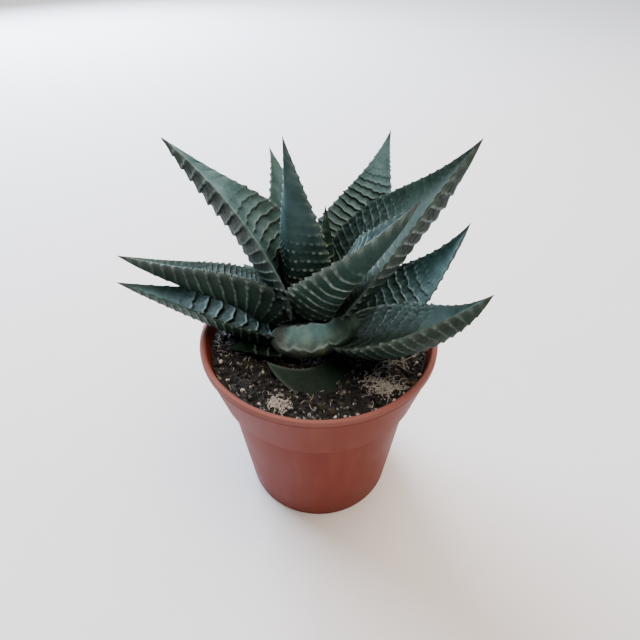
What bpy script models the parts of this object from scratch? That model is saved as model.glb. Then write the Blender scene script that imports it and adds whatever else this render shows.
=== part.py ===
"""Potted haworthia: a plastic nursery pot filled with soil, and a rosette of leaves on a short stem.

Metres, +Z up. The origin is the centre of the pot's underside and -Y is the front. Each leaf is a
keeled blade with ridges across both faces, raised by a formula, and leans on the leaves inside it.
"""

from dataclasses import dataclass
from math import cos, exp, hypot, pi, radians, sin

import bmesh
import bpy
from mathutils import Vector

MM = 0.001
CLEARANCE = 0.3 * MM  # gap left between pieces that touch

# Pot
POT_HEIGHT = 75.0 * MM
RIM_RADIUS = 42.5 * MM
BASE_RADIUS = 29.8 * MM
WALL = 1.2 * MM
LIP_HEIGHT = 2.6 * MM
LIP_WIDTH = 1.9 * MM
COLLAR_DEPTH = 21.5 * MM  # from the rim down to the step
COLLAR_BOTTOM_RADIUS = 37.5 * MM
BODY_TOP_RADIUS = 35.3 * MM
FLOOR = 3.0 * MM  # top of the floor above the ground
RECESS = 1.4 * MM  # the underside is hollowed between the foot ring and the centre pad
RECESS_SLOPE = 0.6  # run of its sides for each unit of depth
EASE = 0.5 * MM  # how much the corners of the wall are eased
STEP_RISE = 1.6 * MM  # height over which the wall steps out into the collar
PAD_RADIUS = 8.0 * MM
FOOT_RING_WIDTH = 2.6 * MM
DRAIN_HOLES = 8
DRAIN_RADIUS = 3.2 * MM
DRAIN_CIRCLE = 18.0 * MM
DRAIN_SIDES = 10
POT_SEGMENTS = 64

# Soil
SOIL_HEIGHT = 70.4 * MM
SOIL_LUMP = 0.42 * MM
LUMP_LENGTHS = (5.1 * MM, 6.3 * MM, 4.7 * MM)  # along X, along Y and across
SOIL_SEGMENTS = 40
SOIL_RINGS = 8
DIP_RADIUS = 27.0 * MM  # the surface dips towards the crown inside this radius
DIP_DEPTH = 6.0 * MM
DIP_POWER = 0.8

# Stem
CROWN = Vector((-3.0, 4.0, 0.0)) * MM  # the rosette's axis, a little off the pot's centre
STEM_RADIUS = 5.2 * MM
STEM_TOP = 79.0 * MM
ROOT_TOP = 60.0 * MM
ROOT_TIP = 38.0 * MM
ROOT_TIP_RADIUS = 1.8 * MM
STEM_SEGMENTS = 16

# Leaves: what they share
SPINE_STEPS = 120
SHOULDER = 0.18  # the blade is widest at this share of its length
CHANNEL = 0.42  # the upper face is hollowed by this share of the keel's depth
EDGE_THICKNESS = 0.8 * MM
RIDGE_START = 0.10
RIDGE_END = 0.84
RIDGE_HEIGHT = 0.75 * MM
EDGE_TOOTH = 0.4 * MM
RIDGE_BOW = 4.0 * MM  # the margins' end of a ridge lies this much nearer the tip than its middle
TIP_RINGS = (0.89, 0.94, 0.975)
SLEEVE_STEPS = 15  # rings of the smooth sleeve that trims a leaf's neighbours
SLEEVE_GAP = CLEARANCE + 0.15 * MM
UPPER_STOPS = (-1.0, -0.5, 0.5, 1.0)
LOWER_STOPS = (1.0, 0.6, 0.2, -0.2, -0.6, -1.0)


@dataclass(frozen=True)
class Leaf:
    """One blade. Angles are degrees and lengths are millimetres.

    azimuth turns from the front (-Y) towards +X; foot_rise and blade_rise are the slopes of the
    foot and the blade; curl bends the blade up along its length; roll lifts the edge that lies
    counter-clockwise, and twist adds to it by the tip; foot_radius and foot_height place the foot;
    sweep turns the azimuth by the tip, which bends the blade like a sickle; foot_width is the
    foot's share of the full width.
    """

    name: str
    azimuth: float
    foot_rise: float
    blade_rise: float
    curl: float
    length: float
    width: float
    keel: float
    roll: float
    twist: float
    foot_radius: float
    foot_height: float
    ridges: int
    sweep: float = 0.0
    foot_width: float = 0.8


# From the youngest, in the middle, to the oldest, at the soil.
LEAVES = (
    Leaf("leaf_01", 20, 88, 81, -4, 34, 13, 5.0, 0, 0, 3, 83, 6),
    Leaf("leaf_02", 66, 88, 86, 6, 41, 15, 5.0, 0, 0, 3, 82, 7),
    Leaf("leaf_03", -24, 89, 77, -14, 69, 20, 8.0, -20, 7, 3, 80, 15),
    Leaf("leaf_04", 10, 100, 38, 25, 74, 21, 12.5, 9, 12, 2, 82, 14, sweep=48),
    Leaf("leaf_05", -96, 100, 40, -2, 72, 30, 14.0, -10, 26, 3, 85, 13),
    Leaf("leaf_06", 71, 91, 45, 23, 73, 33, 14.0, 30, -17, 6.6, 87, 17, foot_width=0.5),
    Leaf("leaf_07", 150, 40, 39, 40, 78, 31, 9.0, 20, -6, 3, 79, 15),
    Leaf("leaf_08", -162, 94, 25, -7, 70, 21, 8.0, 18, 9, 3, 79, 13),
    Leaf("leaf_09", 86, 33, 48, 40, 65, 25, 9.0, 28, -8, 5, 74, 13),
    Leaf("leaf_10", -94, 95, -5, 32, 71, 26, 14.0, 31, -8, 3, 79, 15),
    Leaf("leaf_11", 56, 46, 34, 41, 64, 27, 12.5, 0, 1, 10.5, 78, 13, sweep=-13, foot_width=0.3),
    Leaf("leaf_12", -90, 39, 14, 4, 65, 24, 11.0, 12, -3, 6, 71, 15),
    Leaf("leaf_13", 128, 40, 6, 4, 42, 22, 8.0, 0, 0, 6, 74, 8),
    Leaf("leaf_14", -138, 34, 3, 2, 37, 22, 8.0, 0, 0, 6, 74, 7),
    Leaf("leaf_15", 176, 36, 4, 6, 46, 23, 8.0, 0, 0, 6, 73, 9),
    Leaf("leaf_16", -66, 24, 4, 2, 24, 19, 6.0, 4, 0, 8, 70, 4),
)

# The foot of a leaf that has snapped off: it clasps the front of the stem between two leaves.
STUB_AFTER = "leaf_05"  # it is trimmed by the leaves up to this one, and trims the rest
STUB_FROM, STUB_TO = -64.0, 60.0  # azimuths of its two ends, in degrees
STUB_RADIUS = 13.0 * MM
STUB_SPREAD = 2.4 * MM  # its right end stands this much further out
STUB_HEIGHT = 78.3 * MM
STUB_TILT = 4.2 * MM  # its right end stands this much higher than its middle
STUB_DEPTH = 5.8 * MM  # half its thickness, away from the stem
STUB_RISE = 7.2 * MM  # half its height
STUB_STATIONS = 13
STUB_SIDES = 12
STUB_ENDS = (0.4, 0.78)  # its left and right ends are these shares of its full size
SCAR_SLOPE = 38.0  # the scar faces up and forward by this many degrees
SCAR_DROP = 2.4 * MM  # how far inside the lump the scar's plane lies

# The oldest leaf: short, broad and smooth, it curls round the front of the stem, half in the soil.
LOW_LEAF = "leaf_17"
LOW_PATH = (  # control points of its middle line, from the foot, in millimetres
    (11.0, -11.0, 67.5),
    (7.0, -25.0, 69.5),
    (-7.0, -27.0, 72.0),
    (-17.7, -16.2, 75.2),
)
LOW_HALF_WIDTH = 9.4 * MM
LOW_LEAN = 22.0  # its front edge hangs this many degrees below its back edge
LOW_CROWN = 2.2 * MM  # how far its upper face bulges
LOW_BELLY = 1.4 * MM  # how far its lower face bulges
LOW_STATIONS = 12
LOW_STOPS = (-1.0, -0.6, -0.2, 0.2, 0.6, 1.0)


def clear_scene():
    for obj in list(bpy.data.objects):
        bpy.data.objects.remove(obj, do_unlink=True)


def surface(name, colour, roughness):
    """A Principled material of one sRGB colour, given as hex."""
    channels = [int(colour[i : i + 2], 16) / 255 for i in (0, 2, 4)]
    linear = [c / 12.92 if c <= 0.04045 else ((c + 0.055) / 1.055) ** 2.4 for c in channels]
    material = bpy.data.materials.new(name)
    material.use_nodes = True
    shader = material.node_tree.nodes["Principled BSDF"]
    shader.inputs["Base Color"].default_value = (*linear, 1.0)
    shader.inputs["Roughness"].default_value = roughness
    shader.inputs["Metallic"].default_value = 0.0
    material.diffuse_color = (*linear, 1.0)
    return material


def new_object(name, mesh_builder, material=None):
    """Turns a bmesh into an object of the scene, with its faces pointing out."""
    bmesh.ops.recalc_face_normals(mesh_builder, faces=mesh_builder.faces[:])
    mesh = bpy.data.meshes.new(name)
    mesh_builder.to_mesh(mesh)
    mesh_builder.free()
    if material:
        mesh.materials.append(material)
    obj = bpy.data.objects.new(name, mesh)
    bpy.context.scene.collection.objects.link(obj)
    return obj


def lathe(name, profile, segments, material=None, centre=Vector(), ripple=None):
    """Turns (radius, height) points about the vertical through centre and closes both ends.

    ripple(x, y, height) may move a ring's points up or down.
    """
    builder = bmesh.new()
    rings = []
    for radius, height in profile:
        ring = []
        for i in range(segments):
            angle = 2 * pi * i / segments
            x, y = radius * cos(angle), radius * sin(angle)
            lift = ripple(x, y, height) if ripple else 0.0
            ring.append(builder.verts.new(centre + Vector((x, y, height + lift))))
        rings.append(ring)
    for lower, upper in zip(rings, rings[1:]):
        for i in range(segments):
            j = (i + 1) % segments
            builder.faces.new((lower[i], lower[j], upper[j], upper[i]))
    builder.faces.new(rings[0])
    builder.faces.new(rings[-1])
    return new_object(name, builder, material)


def apply_modifiers(obj):
    """Bakes an object's modifiers into its mesh."""
    graph = bpy.context.evaluated_depsgraph_get()
    baked = bpy.data.meshes.new_from_object(obj.evaluated_get(graph))
    obj.modifiers.clear()
    obj.data = baked


def cut(obj, cutter):
    """Takes the cutter's solid out of the object."""
    modifier = obj.modifiers.new("cut", "BOOLEAN")
    modifier.operation = "DIFFERENCE"
    modifier.solver = "EXACT"
    modifier.object = cutter
    apply_modifiers(obj)


def boxes_meet(a, b):
    """Whether the bounding boxes of two meshes overlap."""
    spans = []
    for obj in (a, b):
        points = [v.co for v in obj.data.vertices]
        spans.append([(min(p[k] for p in points), max(p[k] for p in points)) for k in range(3)])
    return all(spans[0][k][0] < spans[1][k][1] and spans[1][k][0] < spans[0][k][1] for k in range(3))


def keep_largest_body(obj):
    """Drops the loose scraps that a cut leaves behind."""
    builder = bmesh.new()
    builder.from_mesh(obj.data)
    unseen = set(builder.verts)
    bodies = []
    while unseen:
        stack = [unseen.pop()]
        body = set(stack)
        while stack:
            for edge in stack.pop().link_edges:
                for vert in edge.verts:
                    if vert in unseen:
                        unseen.remove(vert)
                        body.add(vert)
                        stack.append(vert)
        bodies.append(body)
    largest = max(bodies, key=len)
    scraps = [v for body in bodies if body is not largest for v in body]
    bmesh.ops.delete(builder, geom=scraps, context="VERTS")
    builder.to_mesh(obj.data)
    builder.free()


def inner_wall_radius(height):
    """Radius of the pot's inside at a height."""
    step = POT_HEIGHT - COLLAR_DEPTH
    if height >= step:
        share = (height - step) / COLLAR_DEPTH
        return COLLAR_BOTTOM_RADIUS + share * (RIM_RADIUS - COLLAR_BOTTOM_RADIUS) - LIP_WIDTH
    return BASE_RADIUS + height / step * (BODY_TOP_RADIUS - BASE_RADIUS) - WALL


def make_pot(material):
    """The pot: centre pad, recessed underside, foot ring, tapered body, stepped collar and lip."""
    step = POT_HEIGHT - COLLAR_DEPTH
    under_lip = POT_HEIGHT - LIP_HEIGHT
    top = POT_HEIGHT - EASE
    foot_inside = BASE_RADIUS - FOOT_RING_WIDTH
    slope = RECESS_SLOPE * RECESS
    profile = [
        (PAD_RADIUS, 0.0),
        (PAD_RADIUS + slope, RECESS),
        (foot_inside - slope, RECESS),
        (foot_inside, 0.0),
        (BASE_RADIUS - EASE, 0.0),
        (BASE_RADIUS, EASE),
        (BODY_TOP_RADIUS, step - 0.75 * STEP_RISE),
        (COLLAR_BOTTOM_RADIUS - 0.5 * EASE, step - 0.25 * STEP_RISE),
        (COLLAR_BOTTOM_RADIUS, step + 0.25 * STEP_RISE),
        (RIM_RADIUS - EASE, under_lip - EASE),
        (RIM_RADIUS, under_lip),
        (RIM_RADIUS, top),
        (RIM_RADIUS - EASE, POT_HEIGHT),
        (RIM_RADIUS - LIP_WIDTH + EASE, POT_HEIGHT),
        (inner_wall_radius(top), top),
        (inner_wall_radius(step), step),
        (inner_wall_radius(step - STEP_RISE), step - STEP_RISE),
        (inner_wall_radius(FLOOR + EASE), FLOOR + EASE),
        (inner_wall_radius(FLOOR) - EASE, FLOOR),
        (DRAIN_CIRCLE + 2 * DRAIN_RADIUS, FLOOR),
        (PAD_RADIUS, FLOOR),
    ]
    pot = lathe("pot", profile, POT_SEGMENTS, material)
    drill_ends = [(DRAIN_RADIUS, -FLOOR), (DRAIN_RADIUS, 2 * FLOOR)]
    for i in range(DRAIN_HOLES):
        angle = 2 * pi * (i + 0.5) / DRAIN_HOLES
        centre = DRAIN_CIRCLE * Vector((cos(angle), sin(angle), 0.0))
        drill = lathe("drill", drill_ends, DRAIN_SIDES, centre=centre)
        cut(pot, drill)
        bpy.data.objects.remove(drill)
    return pot


def soil_height(x, y):
    """Height of the soil's surface: gentle lumps, and a dip towards the crown."""
    along_x, along_y, across = LUMP_LENGTHS
    lumps = sin(x / along_x + 0.7) * cos(y / along_y) + 0.6 * sin((x + 1.7 * y) / across)
    from_crown = hypot(x - CROWN.x, y - CROWN.y)
    dip = DIP_DEPTH * max(0.0, 1 - from_crown / DIP_RADIUS) ** DIP_POWER
    return SOIL_HEIGHT + SOIL_LUMP * lumps - dip


def make_soil(material):
    """The potting mix: it fills the pot to just under the rim and has a plain hole for the stem."""
    step = POT_HEIGHT - COLLAR_DEPTH
    bottom = FLOOR + CLEARANCE
    sides = (bottom + 2 * EASE, step - STEP_RISE, step + CLEARANCE, SOIL_HEIGHT)
    profile = [(inner_wall_radius(bottom) - 2 * EASE - CLEARANCE, bottom)]
    profile += [(inner_wall_radius(height) - CLEARANCE, height) for height in sides]
    edge = profile[-1][0]
    profile += [(edge * (1 - i / SOIL_RINGS), SOIL_HEIGHT) for i in range(1, SOIL_RINGS)]

    def ripple(x, y, height):
        if height < SOIL_HEIGHT:
            return 0.0
        return soil_height(x, y) - SOIL_HEIGHT

    soil = lathe("soil", profile, SOIL_SEGMENTS, material, ripple=ripple)
    hole = make_stem("hole", grow=CLEARANCE)
    cut(soil, hole)
    bpy.data.objects.remove(hole)
    return soil


def make_stem(name, material=None, grow=0.0):
    """The short stem and its tapering rootstock; grow makes a larger one, to cut with."""
    profile = [
        (ROOT_TIP_RADIUS + grow, ROOT_TIP - grow),
        (0.55 * STEM_RADIUS + grow, 0.5 * (ROOT_TIP + ROOT_TOP)),
        (STEM_RADIUS + grow, ROOT_TOP),
        (STEM_RADIUS + grow, STEM_TOP - 1.5 * MM),
        (0.7 * STEM_RADIUS + grow, STEM_TOP + grow),
    ]
    return lathe(name, profile, STEM_SEGMENTS, material, centre=CROWN)


class Spine:
    """A leaf's centre line, with the directions along it, across it and out of its upper face."""

    def __init__(self, leaf):
        self.leaf = leaf
        self.length = leaf.length * MM
        out = self.outward(leaf.azimuth)
        point = CROWN + leaf.foot_radius * MM * out + Vector((0, 0, leaf.foot_height * MM))
        self.points = [point]
        for i in range(SPINE_STEPS):
            along = self.along((i + 0.5) / SPINE_STEPS)
            point = point + along * self.length / SPINE_STEPS
            self.points.append(point)

    @staticmethod
    def outward(azimuth):
        return Vector((sin(radians(azimuth)), -cos(radians(azimuth)), 0.0))

    def along(self, share):
        leaf = self.leaf
        share = min(max(share, 0.0), 1.0)
        foot = (1 - share) ** 3
        rise = leaf.foot_rise * foot + leaf.blade_rise * (1 - foot) + leaf.curl * (share - 0.5)
        out = self.outward(leaf.azimuth + leaf.sweep * share)
        return cos(radians(rise)) * out + sin(radians(rise)) * Vector((0, 0, 1))

    def point(self, share):
        """A point of the centre line; past either end it runs straight on."""
        inside = min(max(share, 0.0), 1.0)
        i = min(int(inside * SPINE_STEPS), SPINE_STEPS - 1)
        between = self.points[i].lerp(self.points[i + 1], inside * SPINE_STEPS - i)
        return between + (share - inside) * self.length * self.along(inside)

    def sides(self, share):
        """The directions across the blade and out of its upper face, rolled about its length."""
        leaf = self.leaf
        share = min(max(share, 0.0), 1.0)
        across = self.outward(leaf.azimuth + leaf.sweep * share + 90)
        up = self.along(share).cross(across)
        roll = radians(leaf.roll + leaf.twist * share)
        return cos(roll) * across + sin(roll) * up, cos(roll) * up - sin(roll) * across


def blade_half_width(leaf, share):
    """Half the width of the blade: broad at the shoulder, drawn out to a long point."""
    outer = min(max((share - SHOULDER) / (1 - SHOULDER), 0.0), 1.0)
    inner = sin(min(max(share, 0.0) / SHOULDER, 1.0) * pi / 2)
    foot = leaf.foot_width + (1 - leaf.foot_width) * inner
    return 0.5 * leaf.width * MM * foot * (1 - outer) ** 1.15 * (1 + 0.55 * sin(pi * outer))


def blade_keel(leaf, share):
    """Depth of the keel below the line from edge to edge."""
    outer = min(max((share - 0.10) / 0.90, 0.0), 1.0)
    foot = 0.55 + 0.45 * sin(min(max(share, 0.0) / 0.22, 1.0) * pi / 2)
    return leaf.keel * MM * foot * (1 - outer**1.7)


def ridge_fade(share):
    """Ridges stand full height on the inner part of the blade and die out towards the tip."""
    return 1.0 / (1.0 + exp((share - 0.74) / 0.05))


def section(spine, share, crest, grow=0.0):
    """The blade's closed outline at a share of its length, with ridges raised by crest (0 to 1)."""
    leaf = spine.leaf
    bow = RIDGE_BOW / spine.length * min(max(share, 0.0) / 0.15, 1.0) * max(1 - share, 0.0)
    edge = 0.5 * EDGE_THICKNESS
    outline = []
    for stops, face in ((UPPER_STOPS, 1), (LOWER_STOPS, -1)):
        for stop in stops:
            here = share + bow * stop * stop
            raised = RIDGE_HEIGHT * crest * ridge_fade(here)
            half = blade_half_width(leaf, here) + EDGE_TOOTH / RIDGE_HEIGHT * raised + grow
            keel = blade_keel(leaf, here)
            if face > 0:
                height = edge - CHANNEL * keel * (1 - stop * stop) + raised + grow
            else:
                height = -edge - keel * (1 - abs(stop) ** 1.5) - raised - grow
            across, up = spine.sides(here)
            outline.append(spine.point(here) + half * stop * across + height * up)
    return outline


def skin(name, outlines, tip, material=None):
    """Joins outlines into a closed solid that ends in a point, or in a flat face without one."""
    builder = bmesh.new()
    rings = [[builder.verts.new(point) for point in outline] for outline in outlines]
    count = len(rings[0])
    for near, far in zip(rings, rings[1:]):
        for i in range(count):
            j = (i + 1) % count
            builder.faces.new((near[i], near[j], far[j], far[i]))
    builder.faces.new(rings[0])
    if tip is None:
        builder.faces.new(rings[-1])
    else:
        apex = builder.verts.new(tip)
        for i in range(count):
            builder.faces.new((rings[-1][i], rings[-1][(i + 1) % count], apex))
    bmesh.ops.triangulate(builder, faces=builder.faces[:])
    return new_object(name, builder, material)


def leaf_rings(leaf):
    """(share, crest) of each ring of a leaf: a valley and a crest for each ridge, then the tip."""
    rings = [(0.0, 0.0)]
    pitch = (RIDGE_END - RIDGE_START) / leaf.ridges
    for i in range(leaf.ridges):
        rings.append((RIDGE_START + i * pitch, 0.0))
        rings.append((RIDGE_START + (i + 0.6) * pitch, 1.0))
    return rings + [(share, 0.0) for share in TIP_RINGS]


def make_leaf(leaf, material):
    spine = Spine(leaf)
    outlines = [section(spine, share, crest) for share, crest in leaf_rings(leaf)]
    return skin(leaf.name, outlines, spine.point(1.0), material)


def make_sleeve(leaf):
    """A smooth solid that holds the leaf with the clearance all round, to cut its neighbours with."""
    spine = Spine(leaf)
    shares = [-0.02] + [((i + 0.5) / SLEEVE_STEPS) ** 1.2 for i in range(SLEEVE_STEPS)] + [1.0]
    outlines = [section(spine, share, 1.0, SLEEVE_GAP) for share in shares]
    tip = spine.point(1.0 + 2 * SLEEVE_GAP / spine.length)
    return skin("sleeve_" + leaf.name, outlines, tip)


def make_stub(name, material=None, grow=0.0):
    """A blunt lump bent round the stem's front, with a flat scar; grow makes a larger one."""
    scar = radians(SCAR_SLOPE)
    left, right = STUB_ENDS
    outlines = []
    for i in range(STUB_STATIONS):
        along = 2 * i / (STUB_STATIONS - 1) - 1
        middle = 0.5 * (STUB_FROM + STUB_TO)
        out = Spine.outward(middle + 0.5 * (STUB_TO - STUB_FROM) * along)
        end = left + (right - left) * 0.5 * (along + 1)
        size = end + (1 - end) * (1 - along**2) ** 0.5
        centre = CROWN + (STUB_RADIUS + STUB_SPREAD * max(along, 0.0)) * out
        centre.z = STUB_HEIGHT + STUB_TILT * along
        outline = []
        for k in range(STUB_SIDES):
            turn = 2 * pi * k / STUB_SIDES
            reach = size * STUB_DEPTH * cos(turn) + grow * cos(turn)
            height = size * STUB_RISE * sin(turn) + grow * sin(turn)
            over = reach * cos(scar) + height * sin(scar) - (STUB_RISE - SCAR_DROP + grow)
            if over > 0:
                reach -= over * cos(scar)
                height -= over * sin(scar)
            outline.append(centre + reach * out + height * Vector((0, 0, 1)))
        outlines.append(outline)
    return skin(name, outlines, None, material)


def low_leaf_station(share):
    """The middle of the low leaf, and the directions along, across and out of it, at a share."""
    path = [Vector(point) * MM for point in LOW_PATH]
    rest = 1 - share
    weights = (rest**3, 3 * share * rest**2, 3 * share**2 * rest, share**3)
    middle = sum((w * p for w, p in zip(weights, path)), Vector())
    steps = [b - a for a, b in zip(path, path[1:])]
    turns = (rest**2, 2 * share * rest, share**2)
    along = sum((w * step for w, step in zip(turns, steps)), Vector()).normalized()
    level = Vector((0, 0, 1)).cross(along).normalized()
    lean = radians(LOW_LEAN)
    across = cos(lean) * level - sin(lean) * Vector((0, 0, 1))
    return middle, across, across.cross(along).normalized()


def make_low_leaf(name, material=None, grow=0.0):
    """The oldest leaf, bulging on both faces; grow makes a larger one."""
    outlines = []
    for i in range(LOW_STATIONS):
        share = 0.97 * i / (LOW_STATIONS - 1)
        middle, across, out = low_leaf_station(share)
        size = min(1.0, 0.6 + 1.6 * share) * (1 - share**1.6)
        half = LOW_HALF_WIDTH * size + grow
        edge = 0.5 * EDGE_THICKNESS + grow
        outline = []
        for side, bulge in ((1, LOW_CROWN), (-1, LOW_BELLY)):
            for stop in LOW_STOPS:
                height = side * (edge + bulge * size * (1 - stop * stop))
                outline.append(middle + side * stop * half * across + height * out)
        outlines.append(outline)
    tip, _, _ = low_leaf_station(1.0)
    return skin(name, outlines, tip, material)


def make_rosette(material, stub_material, soil):
    """The leaves, each trimmed by the stem and by every leaf inside it; the soil makes room."""
    sleeves = [make_stem("sleeve_stem", grow=CLEARANCE)]

    def fit_in(obj, sleeve):
        for inner in sleeves:
            if boxes_meet(obj, inner):
                cut(obj, inner)
        keep_largest_body(obj)
        if boxes_meet(soil, sleeve):
            cut(soil, sleeve)
        sleeves.append(sleeve)

    for leaf in LEAVES:
        fit_in(make_leaf(leaf, material), make_sleeve(leaf))
        if leaf.name == STUB_AFTER:
            stub = make_stub("leaf_stub", stub_material)
            fit_in(stub, make_stub("sleeve_stub", grow=SLEEVE_GAP))
    fit_in(make_low_leaf(LOW_LEAF, material), make_low_leaf("sleeve_low", grow=SLEEVE_GAP))
    for sleeve in sleeves:
        bpy.data.objects.remove(sleeve)
    keep_largest_body(soil)


def main():
    clear_scene()
    terracotta = surface("terracotta_plastic", "B0645A", 0.45)
    potting_mix = surface("potting_mix", "2E2824", 0.95)
    stem_skin = surface("stem_skin", "6B6A4C", 0.7)
    leaf_skin = surface("leaf_skin", "3F5C52", 0.5)
    scar_skin = surface("scar_skin", "7E9A8E", 0.6)
    make_pot(terracotta)
    soil = make_soil(potting_mix)
    make_stem("stem", stem_skin)
    make_rosette(leaf_skin, scar_skin, soil)


main()
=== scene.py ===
"""Dresses the potted haworthia: ridged waxy leaves, the scarred foot of a lost leaf, a thin plastic
nursery pot and loose potting mix, on a plain pale floor.

Metres, +Z up. The origin is the centre of the pot's underside and -Y is the front. Each leaf is one
keeled blade raised by a formula; a younger leaf takes its room out of every older one.
"""

from dataclasses import dataclass
from math import cos, hypot, pi, radians, sin

import bmesh
import bpy
import numpy as np
from mathutils import Matrix, Vector


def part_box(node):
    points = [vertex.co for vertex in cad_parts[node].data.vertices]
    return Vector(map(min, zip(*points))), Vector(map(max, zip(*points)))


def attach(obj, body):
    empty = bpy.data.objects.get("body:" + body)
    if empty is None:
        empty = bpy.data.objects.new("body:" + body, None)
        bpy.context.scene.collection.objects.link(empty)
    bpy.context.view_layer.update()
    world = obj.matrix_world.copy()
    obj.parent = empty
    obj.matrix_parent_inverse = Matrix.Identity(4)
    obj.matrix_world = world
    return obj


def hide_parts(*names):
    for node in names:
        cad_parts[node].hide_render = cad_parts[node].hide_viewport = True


bl_info = {
    "name": "Potted Haworthia",
    "version": (1, 0, 0),
    "blender": (4, 5, 0),
    "location": "View3D > Sidebar > Haworthia",
    "description": "Leaves, pot and potting mix of a potted haworthia, around its fixed frame",
    "category": "Object",
}

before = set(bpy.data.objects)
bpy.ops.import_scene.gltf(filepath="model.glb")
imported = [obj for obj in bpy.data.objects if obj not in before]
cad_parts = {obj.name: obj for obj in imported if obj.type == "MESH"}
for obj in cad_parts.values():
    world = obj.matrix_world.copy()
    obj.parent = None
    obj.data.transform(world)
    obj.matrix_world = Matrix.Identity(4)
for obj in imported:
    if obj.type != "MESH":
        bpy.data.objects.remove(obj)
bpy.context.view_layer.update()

MM = 0.001
BODY = "root"
UP = np.array((0.0, 0.0, 1.0))
CROWN = np.array((-3.0, 4.0, 0.0)) * MM  # the rosette's axis

# Pot
POT_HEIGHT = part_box("pot")[1][2]
RIM_RADIUS = 42.5 * MM
BASE_RADIUS = 29.8 * MM
WALL = 1.2 * MM
LIP_HEIGHT = 2.6 * MM
LIP_WIDTH = 1.9 * MM
COLLAR_DEPTH = 21.5 * MM
COLLAR_BOTTOM_RADIUS = 37.5 * MM
BODY_TOP_RADIUS = 35.3 * MM
FLOOR = 3.0 * MM
RECESS = 1.4 * MM
RECESS_SLOPE = 0.6
STEP_RISE = 1.6 * MM
PAD_RADIUS = 8.0 * MM
FOOT_RING_WIDTH = 2.6 * MM
DRAIN_HOLES = 8
DRAIN_RADIUS = 3.2 * MM
DRAIN_CIRCLE = 18.0 * MM
DRAIN_SEGMENTS = 28
POT_SEGMENTS = 180

# Soil
SOIL_HEIGHT = 70.4 * MM
SOIL_LUMP = 0.42 * MM
LUMP_LENGTHS = (5.1 * MM, 6.3 * MM, 4.7 * MM)  # along X, along Y and across
DIP_RADIUS = 27.0 * MM  # the surface dips towards the crown inside this radius
DIP_DEPTH = 6.0 * MM
DIP_POWER = 0.8
SOIL_SEGMENTS = 240
SOIL_RINGS = 80
SOIL_GAP = 0.3 * MM

# Stem
STEM_RADIUS = 5.2 * MM
STEM_TOP = 79.0 * MM
ROOT_TOP = 60.0 * MM
ROOT_TIP = 38.0 * MM
ROOT_TIP_RADIUS = 1.8 * MM
STEM_SEGMENTS = 48

# Leaves
SPINE_STEPS = 240
SHOULDER = 0.18  # the blade is widest at this share of its length
TAPER = 1.15  # the outer blade narrows by this power of what is left of it
BELLY = 0.55  # and is fuller by this share half way
KEEL_START = 0.10  # the keel runs out from this share of the length to the tip
KEEL_POWER = 1.7
KEEL_FOOT = 0.55  # share of its depth that the keel has at the foot
KEEL_FULL = 0.22  # share of the length where it has its full depth
CHANNEL = 0.42  # the upper face is hollowed by this share of the keel's depth
MARGIN = 0.3 * MM  # half the thickness of the blade's rounded edge
RIDGE_START = 0.10
RIDGE_END = 0.84
RIDGE_HEIGHT = 0.75 * MM
MARGIN_TOOTH = 0.65 * MM
RIDGE_BOW = 4.0 * MM  # the margins' end of a ridge lies this much nearer the tip than its middle
RIDGE_FADE = 0.035  # share of the length over which the ridges die out
MARGIN_LINE = 0.5 * MM  # width of the pale line on the margin
RINGS_A_RIDGE = 14
FOOT_RINGS = 12
TIP_RINGS = 44
LAST_RING = 0.997  # share of the length
FACE_COLUMNS = 38
MARGIN_COLUMNS = 4
SLEEVE_RINGS = 40
SLEEVE_COLUMNS = 16
SLEEVE_GAP = 0.1 * MM
BEAD_PITCH = 1.7 * MM  # from bead to bead along a row
SCALLOP = 5.2  # width in millimetres of one scallop of a ridge's edge
RIDGE_SLOPE = 0.84  # a step slopes over this share of its pitch and rises over the rest
WELT_CENTRE = 0.53  # where a welt lies in its pitch
WELT_WIDTH = 0.12
UPPER_RELIEF = 1.35  # height of an upper ridge, in ridge heights
TOOTH_SHARE = 0.8  # least height of a margin's tooth, as a share of the full one
SLEEVE_CREST = 1.3  # ridge height that a sleeve stands clear of
LEAF_PHASE = 1.7  # shifts the waver of the ridges from leaf to leaf

# Stub
STUB_AFTER = "leaf_05"  # it is trimmed by the leaves up to this one, and trims the rest
STUB_FROM, STUB_TO = -64.0, 60.0  # azimuths of its two ends, in degrees
STUB_RADIUS = 13.0 * MM
STUB_SPREAD = 2.4 * MM  # its right end stands this much further out
STUB_HEIGHT = 78.3 * MM
STUB_TILT = 4.2 * MM
STUB_GAP = 0.2 * MM
STUB_DEPTH = 5.8 * MM
STUB_RISE = 7.2 * MM
STUB_ENDS = (0.4, 0.78)  # its left and right ends are these shares of its full size
STUB_WRINKLE = 0.03
STUB_MESH = (90, 72)  # rings, and points round each
STUB_SLEEVE_MESH = (24, 20)
SCAR_SLOPE = 38.0
SCAR_DROP = 2.4 * MM

# Low leaf
LOW_PATH = (  # control points of its middle line, from the foot, in millimetres
    (11.0, -11.0, 67.5),
    (7.0, -25.0, 69.5),
    (-7.0, -27.0, 72.0),
    (-17.7, -16.2, 75.2),
)
LOW_HALF_WIDTH = 9.4 * MM
LOW_LEAN = 22.0  # its front edge hangs this many degrees below its back edge
LOW_CROWN = 2.2 * MM
LOW_BELLY = 1.4 * MM
LOW_RINGS = 90
LOW_FACE_COLUMNS = 30
LOW_MARGIN_COLUMNS = 6


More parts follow.
